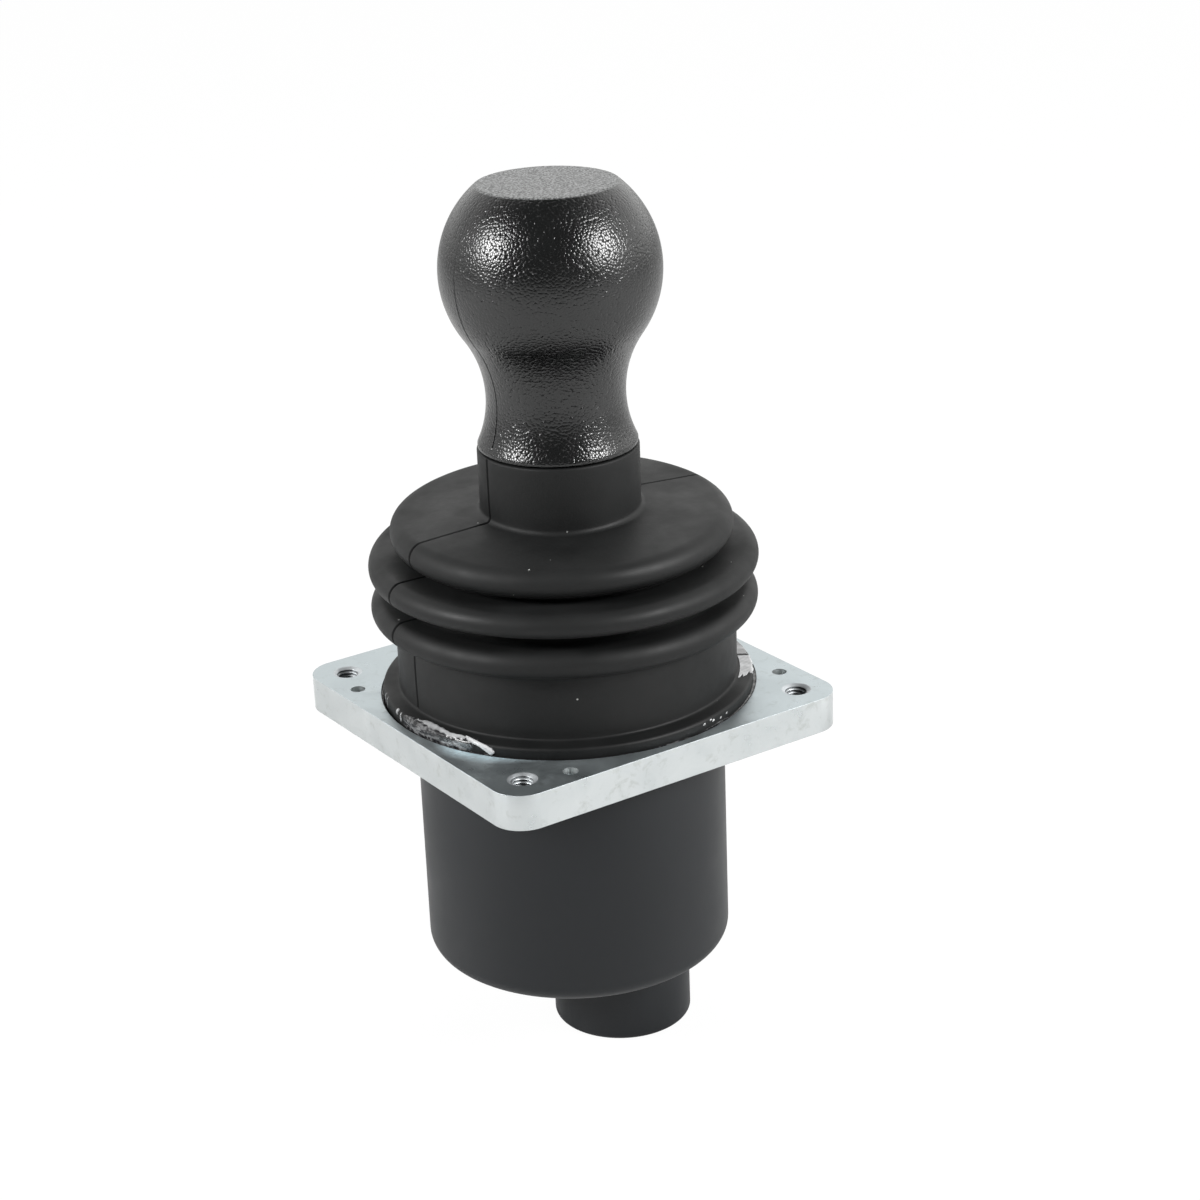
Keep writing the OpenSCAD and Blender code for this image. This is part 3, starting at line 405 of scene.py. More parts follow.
def filmMask(tree, spot, streaks):
    # 1 where the wiped film lies thick: reach = radius + width * widening * narrowing, and
    # mask = (reach - distance from the axis) / fade
    sides = addNode(tree, "SeparateXYZ", {"Vector": spot}).outputs
    turn = addNode(tree, "Math", {0: sides["Y"], 1: sides["X"]}, operation="ARCTAN2")
    level = addNode(tree, "VectorMath", {0: spot, 1: (1.0, 1.0, 0.0)}, operation="MULTIPLY")
    away = addNode(tree, "VectorMath", {0: level}, operation="LENGTH")
    widening, narrowing = (
        addNode(tree, "MapRange", {
            "Value": turn, "From Min": radians(start), "From Max": radians(end),
            "To Min": first, "To Max": 1 - first}, interpolation_type="SMOOTHSTEP")
        for (start, end), first in ((wipedFilm["widens"], 0), (wipedFilm["narrows"], 1)))
    width = addNode(tree, "Math", {0: widening, 1: narrowing}, operation="MULTIPLY")
    reach = addNode(tree, "Math", {
        0: width, 1: wipedFilm["width"] * mm, 2: wipedFilm["radius"] * mm}, operation="MULTIPLY_ADD")
    inside = addNode(tree, "Math", {0: reach, 1: away}, operation="SUBTRACT")
    edge = addNode(tree, "MapRange", {"Value": inside, "From Max": wipedFilm["fade"] * mm})
    streaked = addNode(tree, "MapRange", {
        "Value": streaks, "From Min": 0.35, "From Max": 0.65, "To Min": wipedFilm["thin"]})
    return addNode(tree, "Math", {0: edge, 1: streaked}, operation="MULTIPLY")


def zincPlating(name):
    # bright zinc on ground steel: blue-white clouds, fine grinding lines, dull patches where it was
    # handled, a painted reflection that tints the faces looking up blue, and tumbled dull on the rounded
    # edges
    material, tree, shader, spot = startMaterial(name)
    cloud = addNode(tree, "TexNoise", {
        "Vector": spot, "Scale": 1 / (9 * mm), "Detail": 5.0, "Roughness": 0.6, "Distortion": 0.6})
    fine = addNode(tree, "TexNoise", {
        "Vector": spot, "Scale": 1 / (0.7 * mm), "Detail": 3.0, "Roughness": 0.6})
    stain = addNode(tree, "TexNoise", {
        "Vector": spot, "Scale": 1 / (3.2 * mm), "Detail": 6.0, "Roughness": 0.7, "Distortion": 0.4})
    ground = addNode(tree, "Mapping", {"Vector": spot, "Scale": (0.06, 1.0, 1.0)})
    lines = addNode(tree, "TexNoise", {"Vector": ground, "Scale": 1 / (0.35 * mm)})
    colour = addNode(tree, "Mix", {"Factor": cloud, "A": "#a9afb0", "B": "#c6c9c9"}, data_type="RGBA")
    handled = addNode(tree, "MapRange", {
        "Value": stain, "From Min": 0.55, "From Max": 0.72, "To Max": 0.45})
    worn = addNode(tree, "Mix", {"Factor": handled, "A": colour, "B": "#8d8f8a"}, data_type="RGBA")
    facing = addNode(tree, "NewGeometry").outputs["True Normal"]
    up = addNode(tree, "SeparateXYZ", {"Vector": facing}).outputs["Z"]
    # painted reflection: faces that look up are tinted blue and darkened a little, for the bluish light they
    # reflect from above
    paintedTopReflection = addNode(tree, "Mix", {
        "Factor": up, "A": worn, "B": "#e8eef1"}, data_type="RGBA", blend_type="MULTIPLY")
    film = addNode(tree, "Math", {
        0: filmMask(tree, spot, fine), 1: up}, operation="MULTIPLY", use_clamp=True)
    filmed = addNode(tree, "Mix", {
        "Factor": film, "A": paintedTopReflection, "B": wipedFilm["colour"]}, data_type="RGBA")
    metal = addNode(tree, "MapRange", {"Value": film, "To Min": 0.9, "To Max": 0.1})
    cloudy = addNode(tree, "MapRange", {
        "Value": cloud, "From Min": 0.35, "From Max": 0.65, "To Min": 0.22, "To Max": 0.40})
    rough = addNode(tree, "Math", {0: fine, 1: 0.12, 2: cloudy}, operation="MULTIPLY_ADD")
    # a face's share of slant, most where it slants half way
    slanted = addNode(tree, "Math", {0: up, 1: 0.5}, operation="PINGPONG")
    tumbled = addNode(tree, "Math", {0: slanted, 1: 0.9, 2: rough}, operation="MULTIPLY_ADD")
    ridges = addNode(tree, "Math", {0: lines, 1: 0.4, 2: fine}, operation="MULTIPLY_ADD")
    scratches = addNode(tree, "Bump", {"Height": ridges, "Distance": 0.006 * mm})
    bump = addNode(tree, "Bump", {"Height": cloud, "Distance": 0.05 * mm, "Normal": scratches})
    setInputs(tree, shader, {"Base Color": filmed, "Roughness": tumbled, "Metallic": metal, "Normal": bump})
    return material


def bootRubber(name):
    # moulded neoprene: matt black with a soft bloom, rubbed paler in places, and a few specks of lint
    material, tree, shader, spot = startMaterial(name)
    bloom = addNode(tree, "TexNoise", {
        "Vector": spot, "Scale": 1 / (16 * mm), "Detail": 4.0, "Roughness": 0.6})
    tooth = addNode(tree, "TexNoise", {"Vector": spot, "Scale": 1 / (0.3 * mm)})
    colour = addNode(tree, "Mix", {"Factor": bloom, "A": "#090a0a", "B": "#101111"}, data_type="RGBA")
    # painted shade: the parting line's groove darkened and its shine taken out
    shaded, sheen = paintedSeamShade(tree, colour, "#010101")
    lint = addNode(tree, "TexVoronoi", {"Vector": spot, "Scale": 1 / (5 * mm)}).outputs
    near = addNode(tree, "Math", {0: lint["Distance"], 1: 0.045}, operation="LESS_THAN")
    chosen = addNode(tree, "SeparateColor", {"Color": lint["Color"]}).outputs["Red"]
    some = addNode(tree, "Math", {0: chosen, 1: 0.3}, operation="LESS_THAN")
    speck = addNode(tree, "Math", {0: near, 1: some}, operation="MULTIPLY")
    dotted = addNode(tree, "Mix", {"Factor": speck, "A": shaded, "B": "#8b8c8a"}, data_type="RGBA")
    rough = addNode(tree, "MapRange", {
        "Value": bloom, "From Min": 0.3, "From Max": 0.7, "To Min": 0.48, "To Max": 0.70})
    bump = addNode(tree, "Bump", {"Height": tooth, "Distance": 0.02 * mm})
    setInputs(tree, shader, {
        "Base Color": dotted, "Roughness": rough, "Normal": bump, "Specular IOR Level": sheen, "IOR": 1.35})
    return material


def knobGrain(name):
    # moulded knob: pebbles 0.6 mm across with satin tops, and a flat crown with real sand-blasted grain
    # whose pale grey is painted light
    material, tree, shader, spot = startMaterial(name)
    wobble = addNode(tree, "TexNoise", {"Vector": spot, "Scale": 1 / (1.6 * mm), "Detail": 1.0})
    drift = addNode(tree, "VectorMath", {
        0: wobble.outputs["Color"], 1: (0.15 * mm, 0.15 * mm, 0.15 * mm), 2: spot}, operation="MULTIPLY_ADD")
    pebbles = addNode(tree, "TexVoronoi", {"Vector": drift, "Scale": 1 / (0.58 * mm)})
    crownGrain = addNode(tree, "TexVoronoi", {"Vector": spot, "Scale": 1 / (0.45 * mm)})
    height = addNode(tree, "SeparateXYZ", {"Vector": spot}).outputs["Z"]
    crown = addNode(tree, "MapRange", {
        "Value": height, "From Min": (knob["top"] - 0.35) * mm, "From Max": (knob["top"] - 0.1) * mm})
    grain = addNode(tree, "Mix", {"Factor": crown, "A": pebbles, "B": crownGrain}, data_type="FLOAT")
    domes = addNode(tree, "Math", {0: grain, 1: 3.0}, operation="POWER")
    bump = addNode(tree, "Bump", {"Height": domes, "Distance": 0.108 * mm}, invert=True)
    patches = addNode(tree, "TexNoise", {"Vector": spot, "Scale": 1 / (7 * mm), "Detail": 3.0})
    colour = addNode(tree, "Mix", {"Factor": patches, "A": "#080909", "B": "#0e0f0f"}, data_type="RGBA")
    # painted light: the flat crown is coloured pale grey for the bright room it reflects, mottled by the
    # real sand grain
    sand = addNode(tree, "TexNoise", {
        "Vector": spot, "Scale": 1 / (0.5 * mm), "Detail": 3.0, "Roughness": 0.7})
    sandy = addNode(tree, "MapRange", {"Value": sand, "From Min": 0.42, "From Max": 0.58})
    sandAndPaintedLight = addNode(tree, "Mix", {"Factor": sandy, "A": "#1d1e1e", "B": "#7d7e7e"}, data_type="RGBA")
    crowned = addNode(tree, "Mix", {"Factor": crown, "A": colour, "B": sandAndPaintedLight}, data_type="RGBA")
    # painted shade: the parting line's groove darkened and its shine taken out
    shaded, sheen = paintedSeamShade(tree, crowned, "#010101")
    satin = addNode(tree, "MapRange", {
        "Value": patches, "From Min": 0.3, "From Max": 0.7, "To Min": 0.21, "To Max": 0.28})
    rough = addNode(tree, "Mix", {"Factor": crown, "A": satin, "B": 0.5}, data_type="FLOAT")
    setInputs(tree, shader, {
        "Base Color": shaded, "Roughness": rough, "Normal": bump, "Specular IOR Level": sheen, "IOR": 1.5})
    return material


def curedSealant(name):
    # cured sealant: milky where it lies thick, dark and clear over the rubber where it was wiped, wet
    # shine; the streaks run along the ring, so they're drawn in angle and height
    material, tree, shader, spot = startMaterial(name)
    sides = addNode(tree, "SeparateXYZ", {"Vector": spot}).outputs
    turn = addNode(tree, "Math", {0: sides["Y"], 1: sides["X"]}, operation="ARCTAN2")
    along = addNode(tree, "Math", {0: turn, 1: 12 * mm}, operation="MULTIPLY")
    ringPlace = addNode(tree, "CombineXYZ", {"X": along, "Y": sides["Z"], "Z": 0.0})
    streak = addNode(tree, "TexNoise", {
        "Vector": ringPlace, "Scale": 1 / (1.1 * mm), "Detail": 4.0, "Roughness": 0.65, "Distortion": 0.8})
    streaked = addNode(tree, "MapRange", {
        "Value": streak, "From Min": 0.4, "From Max": 0.68, "To Min": -0.18, "To Max": 0.28})
    thick = addNode(tree, "Attribute", attribute_name="milk").outputs["Fac"]
    milk = addNode(tree, "Math", {0: streaked, 1: thick}, operation="ADD", use_clamp=True)
    colour = addNode(tree, "Mix", {"Factor": milk, "A": "#19191b", "B": "#b9babb"}, data_type="RGBA")
    bump = addNode(tree, "Bump", {"Height": streak, "Distance": 0.035 * mm})
    setInputs(tree, shader, {"Base Color": colour, "Roughness": 0.25, "IOR": 1.42, "Normal": bump})
    return material


# All in millimetres but the number of columns and the seams' angles; seamAlong gives how deep the parting
# line is, and how dark its painted shade, at each height
knob = {
    "ballRadius": 23.9, "ballHeight": 95.03, "top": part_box("knob")[1].z / mm, "crownEdge": 1.2,
    "waistRadius": 15.15, "waistHeight": 67.46, "footRadius": 17.45, "foot": 56.4, "footHeight": 1.6,
    "footRim": 0.25, "spigotRadius": 15.2, "spigotRim": 0.4, "bottom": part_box("knob")[0].z / mm,
    "insertRadius": 8.0, "insertTop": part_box("knob_insert")[1].z / mm,
    "around": 300, "seams": (0.0, 180.0), "groove": 0.16, "seamWidth": 0.42, "seamNearest": 12.0,
    "seamSpread": 2.6,
    "seamAlong": ((58.0, 0), (58.1, 1), (92.0, 1), (98.0, 0.3), (111.0, 0.3), (113.0, 0)),
}
finishes = {slotName: plainFinish(slotName, look) for slotName, look in plainLooks.items()}
finishes["zinc_plate"] = zincPlating("zinc_plate")
finishes["boot_rubber"] = bootRubber("boot_rubber")
finishes["knob_plastic"] = knobGrain("knob_plastic")
finishes["sealant"] = curedSealant("sealant")
print("finishes made:", len(finishes))

for part in record["subparts"]:
    for held in frame["nodes"][part["node"]].material_slots:
        held.material = finishes[part["material_slot"]]


def knobProfile():
    # crown flat, edge arc, ball, waist arc that touches the ball, straight foot, spigot and insert bore;
    # the last number of each line and arc is the spacing of its points
    ballR, ballZ, edge = knob["ballRadius"], knob["ballHeight"], knob["crownEdge"]
    flat = knob["top"] - ballZ
    edgeX = sqrt((ballR - edge) ** 2 - (flat - edge) ** 2)
    edgeTurn = np.degrees(np.arctan2(flat - edge, edgeX))
    rise = ballZ - knob["waistHeight"]
    waistCurve = (rise ** 2 + knob["waistRadius"] ** 2 - ballR ** 2) / (2 * (ballR - knob["waistRadius"]))
    waistX = knob["waistRadius"] + waistCurve
    lean = np.degrees(np.arctan2(-rise, waistX))
    footR, foot, footTop = knob["footRadius"], knob["foot"], knob["foot"] + knob["footHeight"]
    footLean = np.degrees(np.arcsin((knob["waistHeight"] - footTop) / waistCurve))
    waistFootX = waistX - waistCurve * cos(radians(footLean))
    flareEnd = footTop - (footR - waistFootX) / tan(radians(footLean))
    rim, spigotR, spigotRim = knob["footRim"], knob["spigotRadius"], knob["spigotRim"]
    bottom, boreR, boreTop = knob["bottom"], knob["insertRadius"], knob["insertTop"]
    return np.concatenate([
        line((0, knob["top"]), (edgeX, knob["top"]), 1.0),
        arc((edgeX, knob["top"] - edge), edge, 90, edgeTurn, 0.25),
        arc((0, ballZ), ballR, edgeTurn, lean, 0.45),
        arc((waistX, knob["waistHeight"]), waistCurve, 180 + lean, 180 + footLean, 0.45),
        line((waistFootX, footTop), (footR, flareEnd), 0.4),
        line((footR, flareEnd), (footR, foot + rim), 0.4),
        arc((footR - rim, foot + rim), rim, 0, -90, 0.15),
        line((footR - rim, foot), (spigotR, foot), 0.6),
        line((spigotR, foot), (spigotR, bottom + spigotRim), 1.0),
        line((spigotR - spigotRim, bottom), (boreR, bottom), 1.0),
        line((boreR, bottom), (boreR, boreTop), 2.0),
        line((boreR, boreTop), (0, boreTop), 2.0),
        [(0, boreTop)],
    ])


place(revolved("knobMoulding", knobProfile(), knob, closed=False), "stick", "knob_plastic", "knob")
print("knob made")


# In millimetres; a fold is outer radius, height and edge radius, upperGroove its floor's radius and its
# height, a wave of wander size, count, twist and start, and a range start, rise, end and fall
boot = {
    "wall": 2.0, "neckRadius": 17.7, "neckWall": 2.2, "neckEdge": 0.5, "innerEdge": 0.3,
    "top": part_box("boot")[1].z / mm, "slope": 3.0, "neckRoot": 1.2, "skirtRoot": 2.2,
    "around": 240, "seams": (176.0, 356.0), "groove": 0.4, "seamWidth": 0.8, "seamNearest": 15.0,
    "seamSpread": 3.4, "seamAlong": ((2.9, 0), (3.0, 1), (55.9, 1), (56.0, 0)),
    "topFold": (37.7, 37.9, 3.3), "middleFold": (42.9, 30.3, 3.0), "lowFold": (42.7, 20.8, 3.0),
    "upperGroove": (33.0, 1.3), "lowerGroove": 35.3, "skirtRadius": 37.8,
    "crease": 0.5, "creaseTurn": 264, "creaseDip": 0.05, "shelf": 2.6,
    "flangeRadius": 41.4, "flangeHeight": 2.3, "flangeEdge": 0.7, "flangeUnder": 0.3,
    "bottom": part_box("boot")[0].z / mm,
    "wander": ((0.10, 2, 0.12, 0), (0.06, 5, -0.3, 1)), "wanderRange": (4, 10, 48, 6),
    "lean": 0.026, "leanTo": 238.0, "leanRange": (24, 10, 52, 8), "leanNearest": 30,
    "bendFrom": 3.0, "bendTo": 50.0, "neckLoose": 16.4, "looseTo": 48.5, "gripFrom": 49.5,
}


def fold(name, wall=0.0):
    # centre and radius of a fold's round edge, a wall further in
    outer, height, r = boot[name]
    return np.array([outer - r, height]), r - wall


def groove(floor, low, high, wall=0.0):
    # centre and radius of a groove's round floor, a wall further in
    r = (high - low) / 2 + wall
    return np.array([floor - wall + r, (low + high) / 2]), r


def narrowGroove(wall=0.0):
    floor, height = boot["upperGroove"]
    low = boot["middleFold"][1] + boot["middleFold"][2]
    return groove(floor, low, low + height, wall)


def wideGroove(wall=0.0):
    low = boot["lowFold"][1] + boot["lowFold"][2]
    return groove(boot["lowerGroove"], low, boot["middleFold"][1] - boot["middleFold"][2], wall)


def onSlope(x, wall=0.0):
    # the point of the sloping side at a radius
    tilt = radians(boot["slope"])
    centre, r = fold("topFold", wall)
    start = centre + r * np.array([sin(tilt), cos(tilt)])
    return x, start[1] + (start[0] - x) * tan(tilt)


def upperOutside():
    # neck, root fillet, slope, top fold, narrow groove, middle fold, down to the wide groove's floor
    neck, root, edge, tilt = boot["neckRadius"], boot["neckRoot"], boot["neckEdge"], boot["slope"]
    acrossTilt, alongTilt = sin(radians(tilt)), cos(radians(tilt))
    top, topR = fold("topFold")
    middle, middleR = fold("middleFold")
    narrow, narrowR = narrowGroove()
    wide, wideR = wideGroove()
    rootX = neck + root
    rootZ = onSlope(rootX)[1] + root / alongTilt
    return np.concatenate([
        arc((neck - edge, boot["top"] - edge), edge, 90, 0, 0.15),
        line((neck, boot["top"] - edge), (neck, rootZ), 0.8),
        arc((rootX, rootZ), root, 180, 270 - tilt, 0.2),
        line((rootX - root * acrossTilt, rootZ - root * alongTilt),
             onSlope(top[0] + topR * acrossTilt), 1.0),
        arc(top, topR, 90 - tilt, -90, 0.4),
        line((top[0], narrow[1] + narrowR), (narrow[0], narrow[1] + narrowR), 0.8),
        arc(narrow, narrowR, 90, 270, 0.12),
        line((narrow[0], narrow[1] - narrowR), (middle[0], narrow[1] - narrowR), 0.8),
        arc(middle, middleR, 90, -90, 0.45),
        line((middle[0], wide[1] + wideR), (wide[0], wide[1] + wideR), 0.8),
        arc(wide, wideR, 90, 180, 0.2),
        [(wide[0] - wideR, wide[1])],
    ])


def upperInside():
    # the same way back up, a wall further in; the neck is loose round the spigot's end, where it bends
    wall, edge, loose = boot["wall"], boot["innerEdge"], boot["neckLoose"]
    top, topR = fold("topFold", wall)
    middle, middleR = fold("middleFold", wall)
    narrow, narrowR = narrowGroove(wall)
    wide, wideR = wideGroove(wall)
    ledge = narrow[1] + narrowR
    cut = np.degrees(np.arcsin(np.clip((ledge - top[1]) / topR, -1, 1)))
    slopeStart = onSlope(top[0] + topR * sin(radians(boot["slope"])), wall)
    neckIn = boot["neckRadius"] - boot["neckWall"]
    return np.concatenate([
        arc(wide, wideR, 180, 90, 0.6),
        line((wide[0], wide[1] + wideR), (middle[0], wide[1] + wideR), 1.2),
        arc(middle, middleR, -90, 90, 0.6),
        line((middle[0], narrow[1] - narrowR), (narrow[0], narrow[1] - narrowR), 1.2),
        arc(narrow, narrowR, 270, 90, 0.6),
        line((narrow[0], ledge), (top[0] + topR * cos(radians(cut)), ledge), 0.8),
        arc(top, topR, cut, 90 - boot["slope"], 0.6),
        line(slopeStart, onSlope(loose, wall), 1.2),
        line(onSlope(loose, wall), (loose, boot["looseTo"]), 1.2),
        line((loose, boot["looseTo"]), (neckIn, boot["gripFrom"]), 0.6),
        line((neckIn, boot["gripFrom"]), (neckIn, boot["top"] - edge), 1.2),
        line((neckIn + edge, boot["top"]), (boot["neckRadius"] - boot["neckEdge"], boot["top"]), 0.4),
    ])


def lowerOutside():
    # the wide groove's lower half, low fold, skirt fillet, skirt, crease and flange
    wide, wideR = wideGroove()
    low, lowR = fold("lowFold")
    root, skirt, crease, shelf = boot["skirtRoot"], boot["skirtRadius"], boot["crease"], boot["shelf"]
    edge, outer, height = boot["flangeEdge"], boot["flangeRadius"], boot["flangeHeight"]
    bottom, under = boot["bottom"], boot["flangeUnder"]
    rootX = skirt + root
    rootZ = low[1] - sqrt((lowR + root) ** 2 - (rootX - low[0]) ** 2)
    meet = np.degrees(np.arctan2(rootZ - low[1], rootX - low[0]))
    return np.concatenate([
        arc(wide, wideR, 180, 270, 0.2),
        line((wide[0], wide[1] - wideR), (low[0], wide[1] - wideR), 0.8),
        arc(low, lowR, 90, meet, 0.45),
        arc((rootX, rootZ), root, 180 + meet, 180, 0.3),
        line((skirt, rootZ), (skirt, shelf + crease), 0.8),
        arc((skirt + crease, shelf + crease), crease, 180, boot["creaseTurn"], 0.2),
        line((skirt + crease, shelf - boot["creaseDip"]), (outer - edge, height), 0.6),
        arc((outer - edge, height - edge), edge, 90, 0, 0.18),
        line((outer, height - edge), (outer, bottom + under), 0.8),
        line((outer - under, bottom), (skirt - boot["wall"], bottom), 1.2),
    ])


def lowerInside():
    wall = boot["wall"]
    wide, wideR = wideGroove(wall)
    low, lowR = fold("lowFold", wall)
    skirtIn = boot["skirtRadius"] - wall
    return np.concatenate([
        line((skirtIn, boot["bottom"]), (skirtIn, low[1] - lowR), 1.2),
        line((skirtIn, low[1] - lowR), (low[0], low[1] - lowR), 0.8),
        arc(low, lowR, -90, 90, 0.6),
        line((low[0], wide[1] - wideR), (wide[0], wide[1] - wideR), 0.8),
        arc(wide, wideR, 270, 180, 0.6),
        [(wide[0] - wideR, wide[1])],
    ])


def within(z, start, rise, end, fall):
    # 0 up to the start, then rising to 1, and falling back to 0 at the end
    return np.clip((z - start) / rise, 0, 1) * np.clip((end - z) / fall, 0, 1)


def bootWave(a, z):
    # moulded rubber isn't quite round: the rim wanders by waves of
    # size * sin(count * angle + twist * height + start), but not at the flange or the neck
    waves = [size * np.sin(count * a + twist * z + start) for size, count, twist, start in boot["wander"]]
    return within(z, *boot["wanderRange"]) * sum(waves)


def bootSag(a, z, r):
    # the folds settle a little to one side: height lost = lean * r * cos(angle from the low side)
    side = np.cos(a - radians(boot["leanTo"]))
    return within(z, *boot["leanRange"]) * boot["lean"] * np.maximum(r, boot["leanNearest"]) * side


def bootPiece(name, outside, inside):
    piece = revolved(name, np.concatenate([outside, inside]), boot, wave=bootWave, sag=bootSag)
    return place(piece, None, "boot_rubber", "boot")


upper = bootPiece("bootUpper", upperOutside(), upperInside())
lower = bootPiece("bootLower", lowerOutside(), lowerInside())
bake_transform(lower)
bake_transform(upper)
print("boot made")


# Crisp edges lie this near a tapped hole, and this near the small holes' circle inside the outline
plate = {
    "edge": 0.35, "thickness": -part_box("flange_plate")[0].z / mm,
    "boltHalf": mounts["panel_bolts"]["dims"]["spacing_x_mm"] / 2, "nearBolt": 4,
    "smallRadius": mounts["small_holes"]["dims"]["pcd_mm"] / 2, "nearSmall": 2, "outline": 42,
}


def atHole(middle):
    # true by a tapped hole, and by a small hole on its circle
    x, y = abs(middle.x), abs(middle.y)
    atBolt = hypot(x - plate["boltHalf"], y - plate["boltHalf"]) < plate["nearBolt"]
    onCircle = abs(hypot(x, y) - plate["smallRadius"]) < plate["nearSmall"]
    return atBolt or (onCircle and max(x, y) < plate["outline"])


plateBody = softened("flange_plate", "plateBody", plate["edge"], 3, crisp=atHole)
place(plateBody, "base", "zinc_plate", "flange_plate")

# In millimetres, with the countersink's half angle in degrees; flank is how steep the thread's sides
# are, crest how much of its triangle is cut off, and skin how far the shell reaches into the plate
thread = {
    "pitch": 0.8, "major": 2.5, "minor": 2.1, "sinkRadius": 3.3, "sinkAngle": 60, "around": 36,
    "perPitch": 8, "flank": 1.25, "crest": 0.1, "chamfer": 0.4, "underGap": 0.02, "topGap": 0.01,
    "thinnest": 0.02, "skin": 0.03,
}
# plating on the tapped threads and their countersinks: dull silver, with painted shade darkening the
# thread's grooves
threadLook = {"colour": "#d2d5d7", "second": "#abb0b3", "rough": (0.48, 0.6), "cloud": 1.5, "grain": 0.2,
              "bump": 0.008, "metallic": 1.0, "grooves": "#34383a"}


def threadShell(centre):
    # r = major less a triangle wave of (height / pitch - turn), opened out by the countersink's cone
    major, minor, thickness = thread["major"], thread["minor"], plate["thickness"]
    span = thickness - thread["underGap"] - thread["topGap"]
    rows = int(span / thread["pitch"] * thread["perPitch"])
    z = (-thickness + thread["underGap"] + span * np.arange(rows + 1) / rows)[:, None]
    a = (2 * pi * np.arange(thread["around"]) / thread["around"])[None, :]
    phase = (z / thread["pitch"] - a / (2 * pi)) % 1
    wave = np.clip(thread["flank"] * (1 - np.abs(2 * phase - 1)) - thread["crest"], 0, 1)
    cone = thread["sinkRadius"] + z * tan(radians(thread["sinkAngle"]))
    # painted shade: how deep a point lies in the thread's groove, outside the countersink
    grooveShadeDepth = (1 - wave) * (cone < major)
    inner = np.maximum(major - (major - minor) * wave, cone)
    inner = np.maximum(inner, minor + thread["chamfer"] - thickness - z)
    hole = np.maximum(major, cone)
    inner = np.minimum(inner, hole - thread["thinnest"])
    r = np.concatenate([inner, (hole + thread["skin"] + 0 * a)[::-1]])
    points = turned(r, a, np.concatenate([z, z[::-1]]), centre)
    faces = gridFaces(len(r), thread["around"], True, True)
    return meshObject("threadShell", points, faces, 50, {"seam": np.concatenate([grooveShadeDepth, grooveShadeDepth[::-1]])})


corners = [(x * plate["boltHalf"], y * plate["boltHalf"]) for x in (-1, 1) for y in (-1, 1)]
threads = joinPieces("panelThreads", [threadShell(corner) for corner in corners])
place(threads, "base", "zinc_plate").data.materials[0] = plainFinish("zinc_thread", threadLook)

# In millimetres and degrees; a ripple is size, count and start, a hump height, angle and half width;
# into is how deep a smear is rooted in the rubber, and film what it loses in thickness
sealant = {
    "inner": 41.38, "outer": 42.02, "bottom": -2.9, "around": 720,
    "crown": -0.42, "outerRise": 0.1, "innerRise": 0.2,
    "ripples": ((0.10, 7, 0.4), (0.07, 19, 1.1), (0.06, 41, 2.0), (0.04, 83, 0.7)),
    "humps": ((-2.2, 168, 26), (0.3, 205, 12), (0.4, 287, 9)),
    "into": -0.2, "film": 0.02, "perDegree": 5,
    "rimFrom": -0.3, "rimRise": 0.26, "rimStep": 0.13, "turnStep": 0.12,
}


def ripple(a, terms):
    # a slow wander: the sum of size * sin(count * angle + start)
    return sum(size * np.sin(count * a + start) for size, count, start in terms)


def hump(degrees, centre, halfWidth):
    # a smooth rise round an angle, 1 in the middle and 0 beyond its half width
    away = np.abs((degrees - centre + 180) % 360 - 180) / halfWidth
    return np.clip(1 - away ** 2, 0, 1) ** 1.5


def beadRing():
    # the bead in the gap: a closed band whose crown rises and sinks along the ring
    a = 2 * pi * np.arange(sealant["around"]) / sealant["around"]
    crown = sealant["crown"] + ripple(a, sealant["ripples"])
    crown = crown + sum(height * hump(np.degrees(a), at, half) for height, at, half in sealant["humps"])
    inner, outer, bottom = sealant["inner"], sealant["outer"], sealant["bottom"] + 0 * a
    r = np.array([inner, outer, outer, (inner + outer) / 2, inner])[:, None]
    z = np.array([bottom, bottom, crown + sealant["outerRise"], crown, crown + sealant["innerRise"]])
    return meshObject("sealantBead", turned(r, a, z), gridFaces(len(r), len(a), True, True), 60)


def rimPath():
    # the flange's outline from the plate up over its edge to the skirt, with the way out at each point
    edge, outer, height = boot["flangeEdge"], boot["flangeRadius"], boot["flangeHeight"]
    step, turnStep = sealant["rimStep"], sealant["turnStep"]
    end = (boot["skirtRadius"] + boot["crease"], height + sealant["rimRise"])
    side = line((outer, sealant["rimFrom"]), (outer, height - edge), step)
    turn = arc((outer - edge, height - edge), edge, 0, 90, turnStep)
    top = line((outer - edge, height), end, step)
    out = [np.repeat([[1.0, 0.0]], len(side), 0), arc((0, 0), 1.0, 0, 90, turnStep / edge),
           np.repeat([[0.0, 1.0]], len(top), 0)]
    return np.concatenate([side, turn, top]), np.concatenate(out)


def between(value, low, high, soft):
    # 1 inside a range, falling to -1 outside it over the soft width
    return np.clip(np.minimum(value - low, high - value) / soft, -1, 1)


def dome(u, centre, halfWidth):
    # a round ridge across u, 1 on its line and 0 beyond its half width
    return np.sqrt(np.clip(1 - ((u - centre) / halfWidth) ** 2, 0, 1))


def dabs(degrees, u, spots):
    # round spots, each a middle and a half width in u and then in degrees
    return sum(dome(u, up, half) * hump(degrees, at, spread) for up, half, at, spread in spots)


